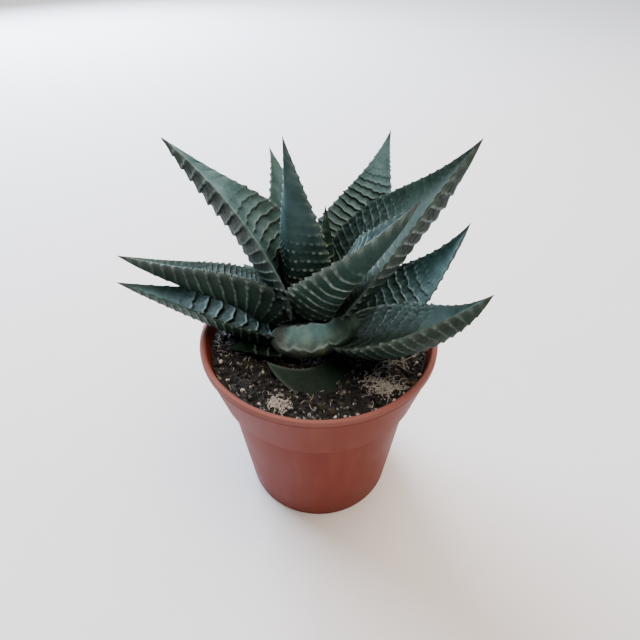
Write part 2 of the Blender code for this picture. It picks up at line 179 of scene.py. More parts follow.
@dataclass(frozen=True)
class Leaf:
    """One blade. Angles are degrees and lengths are millimetres.

    azimuth turns from the front (-Y) towards +X; foot_rise and blade_rise are the slopes of the
    foot and the blade; curl bends the blade up along its length; roll lifts the edge that lies
    counter-clockwise, and twist adds to it by the tip; foot_radius and foot_height place the foot;
    sweep bends the blade sideways.

    The rest is each leaf's own surface, with painted shade and sheen among it. upper_end and
    lower_end are the shares of the length where the ridges of each face die out; upper_rows and
    lower_rows crowd them; upper_arch and lower_arch bend the rows further towards the tip at the
    margins, in ridges; smooth_side is the stop past which the upper face is bare, on the side of
    its sign; scales turns the lower ridges from thin welts into overlapping scales; scallops is how
    deeply the ridges' edges are scalloped; beads and upper_beads break the ridges of the lower and
    upper face into dots; welts is how white they are; steps is how strong the painted shade on each
    ridge's slope, the painted shadow under it and the painted highlight on its lip are;
    bloom_and_sheen and lower_bloom_and_sheen are how much pale wax, with its painted sheen, each
    face carries; brown is how sun-browned the lower face is; rim is how white the margin is.
    """

    name: str
    azimuth: float
    foot_rise: float
    blade_rise: float
    curl: float
    length: float
    width: float
    keel: float
    roll: float
    twist: float
    foot_radius: float
    foot_height: float
    ridges: int
    sweep: float = 0.0
    foot_width: float = 0.8
    upper_end: float = 0.7
    lower_end: float = 0.7
    upper_rows: float = 1.0
    lower_rows: float = 1.0
    upper_arch: float = 0.0
    lower_arch: float = 0.0
    smooth_side: float = 0.0
    scales: float = 0.0
    scallops: float = 1.0
    beads: float = 0.0
    upper_beads: float = 0.0
    welts: float = 0.6
    steps: float = 0.8
    bloom_and_sheen: float = 0.6
    lower_bloom_and_sheen: float = 0.05
    brown: float = 0.0
    rim: float = 0.25


# From the youngest, in the middle, to the oldest, at the soil.
LEAVES = (
    Leaf("leaf_01", 20, 88, 81, -4, 34, 13, 5.0, 0, 0, 3, 83, 6, beads=0.8, bloom_and_sheen=0.1),
    Leaf("leaf_02", 66, 88, 86, 6, 41, 15, 5.0, 0, 0, 3, 82, 7, upper_end=0.4, bloom_and_sheen=0.7),
    Leaf(
        "leaf_03", -24, 89, 77, -14, 69, 20, 8.0, -20, 7, 3, 80, 15,
        lower_end=0.5, beads=1.0, welts=1.0, bloom_and_sheen=0.4, lower_bloom_and_sheen=0.28, lower_arch=-0.8, rim=0.35,
    ),
    Leaf(
        "leaf_04", 10, 100, 38, 25, 74, 21, 12.5, 9, 12, 2, 82, 14, sweep=48,
        lower_end=0.58, lower_rows=0.8, lower_arch=0.9, welts=1.0, beads=0.2, bloom_and_sheen=0.22,
        lower_bloom_and_sheen=0.08, rim=0.5,
    ),
    Leaf(
        "leaf_05", -96, 100, 40, -2, 72, 30, 14.0, -10, 26, 3, 85, 13,
        upper_end=0.6, lower_end=0.92, upper_arch=-1.1, smooth_side=0.2, scales=1.0,
        upper_beads=0.2, bloom_and_sheen=1.0, brown=0.3, rim=0.22,
    ),
    Leaf(
        "leaf_06", 71, 91, 45, 23, 73, 33, 14.0, 30, -17, 6.6, 87, 17, foot_width=0.5,
        upper_end=0.5, lower_end=0.8, lower_rows=0.8, smooth_side=-0.55, scales=1.0, bloom_and_sheen=0.0,
        brown=0.2, rim=0.25,
    ),
    Leaf(
        "leaf_07", 150, 40, 39, 40, 78, 31, 9.0, 20, -6, 3, 79, 15,
        upper_end=0.75, upper_rows=1.3, bloom_and_sheen=1.15,
    ),
    Leaf("leaf_08", -162, 94, 25, -7, 70, 21, 8.0, 18, 9, 3, 79, 13, upper_end=0.5, bloom_and_sheen=0.36),
    Leaf(
        "leaf_09", 86, 33, 48, 40, 65, 25, 9.0, 28, -8, 5, 74, 13,
        upper_end=0.6, upper_beads=0.3, bloom_and_sheen=0.24, welts=1.0, steps=1.0,
    ),
    Leaf(
        "leaf_10", -94, 95, -5, 32, 71, 26, 14.0, 31, -8, 3, 79, 15,
        upper_end=0.6, lower_end=0.8, upper_rows=1.6, lower_rows=0.8, scales=0.5, welts=0.4,
        beads=0.3, bloom_and_sheen=0.2, lower_bloom_and_sheen=0.0, steps=0.6, brown=0.15, rim=0.35,
    ),
    Leaf(
        "leaf_11", 56, 46, 34, 41, 64, 27, 12.5, 0, 1, 10.5, 78, 13, sweep=-13, foot_width=0.3,
        upper_end=0.52, lower_end=0.85, upper_rows=0.8, scales=0.7, welts=0.12, beads=0.2,
        upper_beads=0.6, bloom_and_sheen=0.24, lower_bloom_and_sheen=0.0, steps=0.6, brown=0.1, rim=0.3,
    ),
    Leaf(
        "leaf_12", -90, 39, 14, 4, 65, 24, 11.0, 12, -3, 6, 71, 15,
        upper_end=0.62, lower_end=0.9, upper_rows=0.66, scallops=0.35, steps=0.7, bloom_and_sheen=0.22,
        rim=0.1,
    ),
    Leaf("leaf_13", 128, 40, 6, 4, 42, 22, 8.0, 0, 0, 6, 74, 8),
    Leaf("leaf_14", -138, 34, 3, 2, 37, 22, 8.0, 0, 0, 6, 74, 7),
    Leaf("leaf_15", 176, 36, 4, 6, 46, 23, 8.0, 0, 0, 6, 73, 9),
    Leaf("leaf_16", -66, 24, 4, 2, 24, 19, 6.0, 4, 0, 8, 70, 4, welts=0.0, bloom_and_sheen=0.0, rim=0.0),
)

# Bits on the soil, as (x, y, size) in millimetres.
PERLITE = (
    *((-19, -17.5, 1.5), (-31, -20, 1.1), (-25, -25, 1.5), (-19, -31, 1.2), (24, -30, 1.6)),
    *((34, -13, 1.4), (34, -18.5, 1.6), (5, -37, 1.5), (2.5, -38.5, 1.1), (-1.5, -37.5, 1.2)),
    *((-34, -12.5, 2.2), (-36, -4, 0.9), (12, -35.5, 1.0), (18, -33, 0.8), (-4.5, -36.8, 0.9)),
    *((-7, -36.2, 0.7), (8, -36.6, 0.8), (10.2, -37.2, 1.1), (15, -35.4, 0.7), (27.5, -27, 0.9)),
    *((31, -24.5, 1.2), (33.5, -9.5, 1.0)),
)
PEBBLES = ((-3, -36, 2.2), (9, -33, 1.4), (30, -8, 1.3), (-28, -13, 1.5))
CHIPS = ((31, -22.5, 2.0), (27, -17, 1.1), (-12, -36, 1.0))
BARK = (
    *((0.5, -33, 3.4), (-3, -31, 2.6), (4, -35, 2.8)),
    *((7, -31.5, 2.4), (-25, -13, 2.6), (28, -19, 2.2)),
)
CLEAR_OF_CROWN = 9.0 * MM
CLEAR_OF_WALL = 1.6 * MM
GRAIN_SEED = 3
BIT_LIFT = 0.3  # a bit's middle lies above the soil by this share of its size

# Strands of dry root, as (x, y) in millimetres, how many and how long.
STRANDS = (
    *((19, -22, 60, 4), (23, -25, 60, 4), (26.5, -12.5, 24, 5)),
    *((-13, -31, 50, 3), (-36.5, -2, 6, 7)),
)
STRAND_RADIUS = 0.13 * MM
FIBRE_RADIUS = 0.1 * MM
FIBRE_LENGTH = 3 * MM

# How many bits lie at random.
SMALL_PERLITE = 210
GRIT_FLECKS = 420
LOOSE_FIBRES = 120

# Dry tufts, as (x, y, spread) in millimetres and how many grains.
TUFTS = ((-14, -30, 1.3, 60), (-11.5, -32.5, 1.6, 60), (18, -23, 1.9, 60), (22, -25.5, 2.2, 80))

# Soft lights, as name, place, size, the point they face, share of the key light's power and colour.
LIGHTS = (
    ("window_softbox", (-0.8, 1.05, 0.7), (1.2, 0.9), (-0.2, 0.3, 0.0), 1.0, "DFECFF"),
    ("top_softbox", (0.3, -0.05, 1.2), (1.1, 1.1), (0.0, 0.0, 0.08), 0.3, "FFE8D0"),
    ("far_softbox", (0.0, 2.3, 1.5), (3.0, 1.2), (0.0, 2.1, 0.0), 0.75, "F4F6FA"),
)
AIR_COLOUR = "EBEDEF"
CAMERA_PLACE = (0.0, -0.1318, 0.18827)
CAMERA_SLOPE = 39.5
CAMERA_TURN = 0.0026
CAMERA_LENS = 27.0


# ------------------------------------------------------------------ shared helpers


def linear_colour(code):
    """The linear RGBA of an sRGB hex colour."""
    channels = [int(code[i : i + 2], 16) / 255 for i in (0, 2, 4)]
    linear = [c / 12.92 if c <= 0.04045 else ((c + 0.055) / 1.055) ** 2.4 for c in channels]
    return (*linear, 1.0)


def add_node(tree, kind, settings=None, inputs=None, output=0):
    """Adds a node, sets it, links or sets its inputs, and returns one of its outputs."""
    node = tree.nodes.new(kind)
    for name, value in (settings or {}).items():
        setattr(node, name, value)
    for key, value in (inputs or {}).items():
        socket = node.inputs[key]
        if isinstance(value, bpy.types.NodeSocket):
            tree.links.new(value, socket)
        else:
            socket.default_value = value
    return node.outputs[output] if len(node.outputs) else node


def new_material(name):
    """An empty node material and its tree."""
    material = bpy.data.materials.new(name)
    material.use_nodes = True
    material.node_tree.nodes.clear()
    return material, material.node_tree


def finish_material(material, view_code, shader_inputs):
    """Adds the Principled shader and the output, and sets the colour that the viewport shows."""
    tree = material.node_tree
    shader = add_node(tree, "ShaderNodeBsdfPrincipled", None, shader_inputs)
    add_node(tree, "ShaderNodeOutputMaterial", None, {"Surface": shader})
    material.diffuse_color = linear_colour(view_code)
    return material


def new_object(name, data):
    """A new object in the scene."""
    obj = bpy.data.objects.new(name, data)
    bpy.context.scene.collection.objects.link(obj)
    return obj


def read_all(items, key, width=1, kind=np.float64):
    """One property of every item, as rows of an array."""
    values = np.empty(len(items) * width, kind)
    items.foreach_get(key, values)
    return values.reshape(-1, width)


def smoothstep(low, high, value):
    """Rises smoothly from 0 to 1 while the value goes from low to high."""
    share = np.clip((value - low) / (high - low), 0.0, 1.0)
    return share * share * (3 - 2 * share)


def closed_skin(name, rows, tip=None, maps=None):
    """A closed mesh object from rings of points (rings x columns x 3), its ends fanned shut.

    maps holds named UV layers as rings x columns x 2.
    """
    rings, columns = rows.shape[:2]
    end = rows[-1].mean(axis=0) if tip is None else np.asarray(tip)
    points = np.concatenate([rows.reshape(-1, 3), rows[0].mean(axis=0)[None], end[None]])
    ring, column = np.meshgrid(np.arange(rings - 1), np.arange(columns), indexing="ij")
    beside = (column + 1) % columns
    near, far = ring * columns, (ring + 1) * columns
    quads = np.stack([near + column, near + beside, far + beside, far + column], axis=-1)
    here = np.arange(columns)
    after = (here + 1) % columns
    foot, apex = np.full(columns, rings * columns), np.full(columns, rings * columns + 1)
    last = (rings - 1) * columns
    faces = quads.reshape(-1, 4).tolist()
    faces += np.stack([after, here, foot], axis=-1).tolist()
    faces += np.stack([last + here, last + after, apex], axis=-1).tolist()
    mesh = bpy.data.meshes.new(name)
    mesh.from_pydata(points.tolist(), [], faces)
    for key, values in (maps or {}).items():
        ends = values[0].mean(axis=0)[None], values[-1].mean(axis=0)[None]
        flat = np.concatenate([values.reshape(-1, 2), *ends])
        index = read_all(mesh.loops, "vertex_index", kind=np.int32)[:, 0]
        layer = mesh.uv_layers.new(name=key)
        layer.data.foreach_set("uv", flat[index].astype(np.float32).ravel())
    if signed_volume(mesh) < 0:
        mesh.flip_normals()
    return new_object(name, mesh)


def signed_volume(mesh):
    """A mesh's volume, below zero where its faces point inwards."""
    mesh.calc_loop_triangles()
    points = read_all(mesh.vertices, "co", 3)
    corners = read_all(mesh.loop_triangles, "vertices", 3, np.int32)
    return np.linalg.det(points[corners]).sum() / 6


def bake(obj):
    """Turns an object's modifiers into its mesh."""
    graph = bpy.context.evaluated_depsgraph_get()
    baked = bpy.data.meshes.new_from_object(obj.evaluated_get(graph))
    obj.modifiers.clear()
    obj.data = baked


def box_of(obj):
    """The low and high corners of a mesh's box."""
    points = read_all(obj.data.vertices, "co", 3)
    return points.min(axis=0), points.max(axis=0)


def cut(obj, cutters):
    """Takes out of the object every cutter whose box meets its own."""
    low, high = box_of(obj)
    for cutter in cutters:
        cutter_low, cutter_high = box_of(cutter)
        if (cutter_low < high).all() and (low < cutter_high).all():
            modifier = obj.modifiers.new("cut", "BOOLEAN")
            modifier.operation = "DIFFERENCE"
            modifier.solver = "MANIFOLD"
            modifier.object = cutter
    bake(obj)
    if not obj.data.polygons:
        raise RuntimeError(f"{obj.name} was cut away whole")


def keep_largest_body(obj):
    """Drops the loose scraps that a cut leaves behind."""
    builder = bmesh.new()
    builder.from_mesh(obj.data)
    unseen = set(builder.verts)
    bodies = []
    while unseen:
        stack = [unseen.pop()]
        body = set(stack)
        while stack:
            for edge in stack.pop().link_edges:
                for vert in edge.verts:
                    if vert in unseen:
                        unseen.remove(vert)
                        body.add(vert)
                        stack.append(vert)
        bodies.append(body)
    largest = max(bodies, key=len)
    scraps = [v for body in bodies if body is not largest for v in body]
    bmesh.ops.delete(builder, geom=scraps, context="VERTS")
    builder.to_mesh(obj.data)
    builder.free()


def shade_smooth(obj, sharp):
    """Smooth shading, with edges sharper than an angle in degrees left hard."""
    obj.data.shade_smooth()
    obj.data.set_sharp_from_angle(angle=radians(sharp))


def trim(obj, sleeves, sharp):
    """Takes the younger pieces' room out of a piece, and shades what is left."""
    cut(obj, sleeves)
    keep_largest_body(obj)
    shade_smooth(obj, sharp)


def hand_over(obj, material, slot, *nodes):
    """Gives a finished piece its material, hangs it on the body and hides the frame's parts that it
    stands for.
    """
    obj.data.materials.clear()
    obj.data.materials.append(material)
    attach(obj, BODY)
    if nodes:
        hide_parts(*nodes)


# ------------------------------------------------------------------ leaves


def leaf_phase(leaf):
    """Sets the waver of one leaf's ridges apart from the next one's."""
    return LEAVES.index(leaf) * LEAF_PHASE


def paired(first, second):
    """Two arrays as one map of pairs."""
    return np.stack(np.broadcast_arrays(first, second), axis=-1)


def outward(azimuth):
    """The level direction at an azimuth."""
    turn = np.radians(azimuth)
    return np.stack([np.sin(turn), -np.cos(turn), np.zeros_like(turn)], axis=-1)


def direction(leaf, share):
    """The way the blade runs at each share of its length."""
    share = np.clip(share, 0.0, 1.0)
    foot = (1 - share) ** 3
    rise = leaf.foot_rise * foot + leaf.blade_rise * (1 - foot) + leaf.curl * (share - 0.5)
    rise = np.radians(rise)
    flat = outward(leaf.azimuth + leaf.sweep * share)
    return np.cos(rise)[..., None] * flat + np.sin(rise)[..., None] * UP


def spine_point(leaf, share):
    """Points of the centre line; past either end it runs straight on."""
    length = leaf.length * MM
    steps = direction(leaf, (np.arange(SPINE_STEPS) + 0.5) / SPINE_STEPS) * length / SPINE_STEPS
    out_of_crown = outward(np.array(float(leaf.azimuth)))
    foot = CROWN + leaf.foot_radius * MM * out_of_crown + leaf.foot_height * MM * UP
    line = np.concatenate([[foot], foot + np.cumsum(steps, axis=0)])
    inside = np.clip(share, 0.0, 1.0)
    knots = np.linspace(0, 1, SPINE_STEPS + 1)
    point = np.stack([np.interp(inside, knots, line[:, k]) for k in range(3)], axis=-1)
    return point + ((share - inside) * length)[..., None] * direction(leaf, inside)


def blade_sides(leaf, share):
    """The directions across the blade and out of its upper face, rolled about its length."""
    share = np.clip(share, 0.0, 1.0)
    across = outward(leaf.azimuth + leaf.sweep * share + 90)
    up = np.cross(direction(leaf, share), across)
    roll = np.radians(leaf.roll + leaf.twist * share)[..., None]
    return np.cos(roll) * across + np.sin(roll) * up, np.cos(roll) * up - np.sin(roll) * across


def half_width(leaf, share):
    """Half the width of the blade: broad at the shoulder, drawn out to a long point."""
    outer = np.clip((share - SHOULDER) / (1 - SHOULDER), 0.0, 1.0)
    inner = np.sin(np.clip(share / SHOULDER, 0.0, 1.0) * pi / 2)
    foot = leaf.foot_width + (1 - leaf.foot_width) * inner
    return 0.5 * leaf.width * MM * foot * (1 - outer) ** TAPER * (1 + BELLY * np.sin(pi * outer))


def keel_depth(leaf, share):
    """Depth of the keel below the line from edge to edge."""
    outer = np.clip((share - KEEL_START) / (1 - KEEL_START), 0.0, 1.0)
    foot = KEEL_FOOT + (1 - KEEL_FOOT) * np.sin(np.clip(share / KEEL_FULL, 0.0, 1.0) * pi / 2)
    return leaf.keel * MM * foot * (1 - outer**KEEL_POWER)


def ridge_rows(leaf, share, stop, face):
    """How many ridges lie between the foot and each point; the rows waver a little."""
    seed = leaf_phase(leaf)
    pitch = (RIDGE_END - RIDGE_START) / leaf.ridges
    arch = np.where(face > 0, leaf.upper_arch, leaf.lower_arch)
    crowd = np.where(face > 0, leaf.upper_rows, leaf.lower_rows)
    rows = (share - RIDGE_START) / pitch * crowd - arch * stop**2
    waver = np.where(face > 0, 1.0, 0.5)
    scallops = stop * leaf.width / (2 * SCALLOP) + 0.09 * np.sin(1.3 * rows) + seed
    rows = rows + waver * 0.11 * np.sin(3.7 * stop + 0.8 * rows + seed)
    rows = rows + waver * 0.04 * np.sin(9.0 * stop - 1.9 * rows + 2 * seed)
    return rows - waver * leaf.scallops * 0.17 * np.abs(np.sin(pi * scallops)) * (1 - stop**4)


def ridge_wear(leaf, share, stop, face):
    """Where a face is ridged (0 to 1), and how far its ridges break into beads (0 to 1)."""
    end = np.where(face > 0, leaf.upper_end, leaf.lower_end)
    reach = smoothstep(0.0, 0.08, share) / (1 + np.exp((share - end) / RIDGE_FADE))
    if leaf.smooth_side:
        limit = abs(leaf.smooth_side)
        past = smoothstep(limit - 0.1, limit + 0.25, stop * np.sign(leaf.smooth_side))
        reach = reach * np.where(face > 0, 1 - past, 1.0)
    rim = smoothstep(0.55, 0.95, np.abs(stop))
    low = 1 - smoothstep(0.12, 0.34, share)
    dying = 1 - smoothstep(0.15, 0.8, reach)
    upper_beads = leaf.upper_beads + 0.45 * rim + 0.9 * dying
    lower_beads = leaf.beads + 0.6 * rim + 0.6 * low + 0.5 * dying
    return reach, np.clip(np.where(face > 0, upper_beads, lower_beads), 0.0, 1.0)


def bead_turns(leaf, rows, stop, share):
    """A count of beads across each row, started afresh in each."""
    count = half_width(leaf, np.clip(share, 0.1, 0.9)) / BEAD_PITCH
    return stop * count + 0.37 * np.floor(rows) + 0.21 * LEAVES.index(leaf)


def ridge_relief(leaf, share, stop, face):
    """Height of the ridges (0 to 1) on one face, with and without the gaps between their beads.

    An upper ridge is a step that faces the foot and slopes gently up to it from the tip side. A
    lower one is a thin welt, or such a step where the face is scaly.
    """
    rows = ridge_rows(leaf, share, stop, face)
    reach, beads = ridge_wear(leaf, share, stop, face)
    past = np.mod(rows - 0.5, 1.0)
    down = np.clip(1 - past / RIDGE_SLOPE, 0.0, 1.0) ** 1.3
    step = np.where(past < RIDGE_SLOPE, down, smoothstep(RIDGE_SLOPE, 1.0, past))
    within = np.mod(rows, 1.0)
    welt = np.exp(-(((within - WELT_CENTRE) / WELT_WIDTH) ** 2))
    scaly = np.where(face > 0, 1.0, leaf.scales)
    bead = 0.5 + 0.5 * np.cos(2 * pi * bead_turns(leaf, rows, stop, share))
    strength = 0.86 + 0.14 * np.sin(5.1 * np.floor(rows) + leaf_phase(leaf))
    height = scaly * step + (1 - scaly) * 0.6 * welt
    lower_relief = 1.45 * leaf.scales + (1 - leaf.scales) * (0.3 + 0.7 * leaf.welts)
    depth = np.where(face > 0, UPPER_RELIEF, lower_relief)
    whole = height * strength * reach * depth
    tooth = np.exp(-(((within - 0.5) / 0.16) ** 2)) * (1 - smoothstep(0.8, 0.95, share))
    return whole * (1 - 0.85 * beads * (1 - bead)), np.maximum(whole, TOOTH_SHARE * tooth)


def section_columns(face_columns, margin_columns):
    """(stop, face, bulge) of each column round the blade: upper face, edge, lower face, edge.

    stop runs from -1 to 1 across the blade, face is 1 on the upper face and -1 on the lower one,
    and bulge is how far out a column of the rounded edge stands, in half thicknesses.
    """
    even = np.linspace(-1, 1, face_columns)
    stops = 0.75 * even + 0.25 * np.sin(even * pi / 2)
    turns = np.linspace(pi / 2, -pi / 2, margin_columns + 2)[1:-1]
    edge, flat = np.ones(margin_columns), np.zeros(face_columns)
    stop = np.concatenate([stops, edge, -stops, -edge])
    face = np.concatenate([flat + 1, np.sin(turns), flat - 1, -np.sin(turns)])
    bulge = np.concatenate([flat, np.cos(turns), flat, np.cos(turns)])
    return stop, face, bulge


def blade_rows(leaf, shares, columns, crest=None, grow=0.0):
    """Rings of points over the blade, and its maps.

    crest is a fixed ridge height; without it the ridges have their own relief. The maps hold, in
    pairs: rows, the counts of ridges and of beads; wear, how white the welts are and
    how strong the painted shade, shadow and highlight of the steps are; skin, the pale wax with its
    painted sheen and shade, and the brown; beads, how broken the ridges are and how white the
    margin; along, the share of the length.
    """
    stop, face, bulge = columns
    share = np.repeat(shares[:, None], len(stop), axis=1)
    stop = np.repeat(stop[None], len(shares), axis=0)
    face = np.repeat(face[None], len(shares), axis=0)
    bow = RIDGE_BOW / (leaf.length * MM) * np.clip(share / 0.15, 0, 1) * np.clip(1 - share, 0, 1)
    here = share + bow * stop**2
    if crest is None:
        relief, whole = ridge_relief(leaf, share, stop, face)
    else:
        relief = whole = crest / (1 + np.exp((here - 0.74) / 0.05))
    raised = RIDGE_HEIGHT * relief
    teeth = MARGIN_TOOTH * whole
    half = half_width(leaf, here) + teeth + grow
    keel = keel_depth(leaf, here)
    thick = MARGIN * np.clip((1.02 - here) / 0.12, 0.15, 1.0)
    upper = thick - CHANNEL * keel * (1 - stop**2) + raised + grow
    lower = -thick - keel * (1 - np.abs(stop) ** 1.5) - raised - grow
    rounded = (thick + grow + 0.6 * raised) * face
    height = np.where(face >= 1, upper, np.where(face <= -1, lower, rounded))
    across, out = blade_sides(leaf, here)
    lateral = (half + bulge * (thick + grow)) * np.sign(stop) * np.abs(stop)
    points = spine_point(leaf, here) + lateral[..., None] * across + height[..., None] * out
    rows = ridge_rows(leaf, share, stop, face)
    reach, beads = ridge_wear(leaf, share, stop, face)
    above = smoothstep(-0.3, 0.3, face)
    closeness = np.exp(-half * (1 - np.abs(stop)) / MARGIN_LINE)
    # The pale wax of each face, with its painted sheen; it thins towards the foot and over the
    # upper face's ridges, as painted shade of the crown.
    film_and_sheen = leaf.lower_bloom_and_sheen + (leaf.bloom_and_sheen - leaf.lower_bloom_and_sheen) * above
    film_and_sheen = film_and_sheen * (0.18 + 0.82 * smoothstep(0.1, 0.7, here)) * (1 - 0.4 * reach * above)
    welts = reach * (leaf.welts * (1 - above) * (1 - 0.6 * leaf.scales) + 0.3 * leaf.welts * above)
    outer = 0.3 + 0.7 * smoothstep(0.25, 0.8, np.abs(stop))
    # steps sets how strong each ridge's painted shade, painted shadow and painted lip highlight
    # are.
    steps = reach * (leaf.steps * above + 0.8 * leaf.scales * outer * (1 - above))
    maps = {
        "rows": paired(rows, bead_turns(leaf, rows, stop, share)),
        "wear": paired(welts, steps),
        "skin": paired(film_and_sheen, leaf.brown * outer * (1 - above)),
        "beads": paired(beads, closeness * leaf.rim),
        "along": paired(here, 0.0),
    }
    return points, maps


def leaf_shares(leaf):
    """Where the rings of a leaf lie: close together over the ridges, wider apart elsewhere."""
    count = leaf.ridges * RINGS_A_RIDGE
    foot = np.linspace(0, RIDGE_START, FOOT_RINGS, endpoint=False)
    ridged = np.linspace(RIDGE_START, RIDGE_END, count, endpoint=False)
    outer = RIDGE_END + (LAST_RING - RIDGE_END) * np.linspace(0, 1, TIP_RINGS)
    return np.concatenate([foot, ridged, outer])


def make_blade(leaf):
    columns = section_columns(FACE_COLUMNS, MARGIN_COLUMNS)
    rows, maps = blade_rows(leaf, leaf_shares(leaf), columns)
    return closed_skin("blade_" + leaf.name[-2:], rows, spine_point(leaf, np.array(1.0)), maps)


def make_sleeve(leaf):
    """A smooth solid just outside the leaf, to trim the older leaves with."""
    even = (np.arange(SLEEVE_RINGS) + 0.5) / SLEEVE_RINGS
    shares = np.concatenate([[-0.02], even**1.2, [1.0]])
    columns = section_columns(SLEEVE_COLUMNS, 2)
    rows, _ = blade_rows(leaf, shares, columns, SLEEVE_CREST, SLEEVE_GAP)
    tip = spine_point(leaf, np.array(1.0 + 2 * SLEEVE_GAP / (leaf.length * MM)))
    return closed_skin("sleeve_" + leaf.name, rows, tip)


def stub_rows(stations, sides, grow=0.0, wrinkle=0.0):
    """Rings of the blunt lump bent round the stem's front, with a flat scar facing up and out."""
    scar = radians(SCAR_SLOPE)
    left, right = STUB_ENDS
    along = np.linspace(-1, 1, stations)
    out = outward(0.5 * (STUB_FROM + STUB_TO) + 0.5 * (STUB_TO - STUB_FROM) * along)
    end = left + (right - left) * 0.5 * (along + 1)
    size = end + (1 - end) * np.sqrt(np.clip(1 - along**2, 0, 1))
    centre = CROWN + (STUB_RADIUS + STUB_SPREAD * np.clip(along, 0, 1))[:, None] * out
    centre[:, 2] = STUB_HEIGHT + STUB_TILT * along
    turn = np.linspace(0, 2 * pi, sides, endpoint=False)[None]
    along = along[:, None]
    folds = np.sin(9 * along + 2.0 * np.sin(2 * turn)) * np.cos(3 * turn + 4 * along)
    folds = folds + 0.5 * np.sin(23 * along + 3 * turn) * np.sin(5 * turn + 1.0)
    ripple = 1 + wrinkle * folds * (1 - smoothstep(0.1, 0.5, along)) - 0.6 * wrinkle
    reach = (size[:, None] * STUB_DEPTH * ripple + grow) * np.cos(turn)
    height = (size[:, None] * STUB_RISE * ripple + grow) * np.sin(turn)
    ragged = 0.35 * MM * np.sin(13 * along + 1.0) + 0.2 * MM * np.sin(31 * along)
    limit = STUB_RISE - SCAR_DROP + grow - np.where(wrinkle > 0, 0.4 * MM + ragged, 0.0)
    over = np.clip(reach * cos(scar) + height * sin(scar) - limit, 0, None)
    reach = reach - over * cos(scar)
    height = height - over * sin(scar)
    rows = centre[:, None] + reach[..., None] * out[:, None] + height[..., None] * UP
    here = 0.5 + 0.5 * along
    fresh = smoothstep(0.0, 0.5 * MM, over) * smoothstep(0.18, 0.32, here)
    fresh = fresh * (1 - smoothstep(0.62, 0.86, here))
    # crest marks a painted highlight along the scar's edge; facing, how far each point faces up,
    # sets the stub's painted light and shade.
    crest = np.exp(-(((over - 0.25 * MM) / (0.3 * MM)) ** 2)) * fresh
    return rows, {"scar": paired(fresh, here), "facing": paired(0.5 + 0.5 * np.sin(turn), crest)}


def low_leaf_rows():
    """Rings of the oldest leaf, which bulges on both faces and curls round the stem's front."""
    path = np.array(LOW_PATH) * MM
    share = np.linspace(0, 0.985, LOW_RINGS)[:, None]
    rest = 1 - share
    middle = rest**3 * path[0] + 3 * share * rest**2 * path[1]
    middle = middle + 3 * share**2 * rest * path[2] + share**3 * path[3]
    steps = np.diff(path, axis=0)
    along = rest**2 * steps[0] + 2 * share * rest * steps[1] + share**2 * steps[2]
    along = along / np.linalg.norm(along, axis=1, keepdims=True)
    level = np.cross(UP, along)
    level = level / np.linalg.norm(level, axis=1, keepdims=True)
    lean = radians(LOW_LEAN)
    across = cos(lean) * level - sin(lean) * UP
    out = np.cross(across, along)
    out = out / np.linalg.norm(out, axis=1, keepdims=True)
    size = np.minimum(1.0, 0.6 + 1.6 * share) * (1 - share**1.6)
    stop, face, bulge = section_columns(LOW_FACE_COLUMNS, LOW_MARGIN_COLUMNS)
    half = LOW_HALF_WIDTH * size - MARGIN
    crown = np.where(face > 0, LOW_CROWN, LOW_BELLY)
    height = face * MARGIN + np.sign(face) * crown * size * (1 - stop**2)
    lateral = half * stop + bulge * MARGIN * np.sign(stop)
    rows = middle[:, None] + lateral[..., None] * across[:, None] + height[..., None] * out[:, None]
    edge = np.exp(-half * (1 - np.abs(stop)) / MARGIN_LINE)
    nothing = np.zeros_like(height)
    maps = {
        "rows": paired(nothing, 0.0),
        "wear": paired(nothing, 0.0),
        "skin": paired(nothing + 0.02, 0.0),
        "beads": paired(nothing, 0.5 * edge * smoothstep(0.45, 0.6, share)),
        # along stays low, so that the crown's painted shade darkens the whole leaf, as painted
        # shadow under the stub.
        "along": paired(nothing + 0.05 + 0.2 * share, 0.0),
    }
    return rows, path[3], maps


# ------------------------------------------------------------------ materials

# Colours of the crown's painted shade, the ridges' painted shade, shadow and highlight, and the dry
# tip.
CROWN_SHADE = "0B120E"
SLOPE_SHADE = "0E1714"
UNDER_SHADE = "070C0A"
LIP_HIGHLIGHT = "839B98"
BROWN_LIP_HIGHLIGHT = "8C877C"
DRY_TIP = "3D352C"


def uv_pair(tree, name):
    """The two values of a UV map."""
    pair = add_node(tree, "ShaderNodeUVMap", {"uv_map": name})
    first = add_node(tree, "ShaderNodeSeparateXYZ", None, {0: pair})
    return first, first.node.outputs[1]


def ramp(tree, value, low, high, start=0.0, end=1.0, kind="SMOOTHSTEP"):
    """A change from start to end while the value goes from low to high."""
    inputs = {0: value, 1: low, 2: high, 3: start, 4: end}
    return add_node(tree, "ShaderNodeMapRange", {"interpolation_type": kind}, inputs)


def reckon(tree, operation, *values):
    """One step of arithmetic."""
    return add_node(tree, "ShaderNodeMath", {"operation": operation}, dict(enumerate(values)))


def product(tree, value, *others):
    """The product of two or more values."""
    for other in others:
        value = reckon(tree, "MULTIPLY", value, other)
    return value


def blend(tree, share, first, second):
    """A mix of two colours, each a socket or an sRGB hex code."""
    colours = [linear_colour(c) if isinstance(c, str) else c for c in (first, second)]
    inputs = {0: share, 6: colours[0], 7: colours[1]}
    return add_node(tree, "ShaderNodeMix", {"data_type": "RGBA"}, inputs, output=2)


def object_space(tree):
    """Coordinates that stay with the piece."""
    return add_node(tree, "ShaderNodeTexCoord", output="Object")


def noise(tree, where, scale, detail, roughness=0.5):
    """Cloudy noise from 0 to 1."""
    inputs = {"Vector": where, "Scale": scale, "Detail": detail, "Roughness": roughness}
    return add_node(tree, "ShaderNodeTexNoise", None, inputs)


def bumped(tree, height, strength, distance, under=None):
    """The surface's direction with a bump on it, over another bump where one is given."""
    inputs = {"Strength": strength, "Distance": distance, "Height": height}
    if under:
        inputs["Normal"] = under
    return add_node(tree, "ShaderNodeBump", None, inputs)


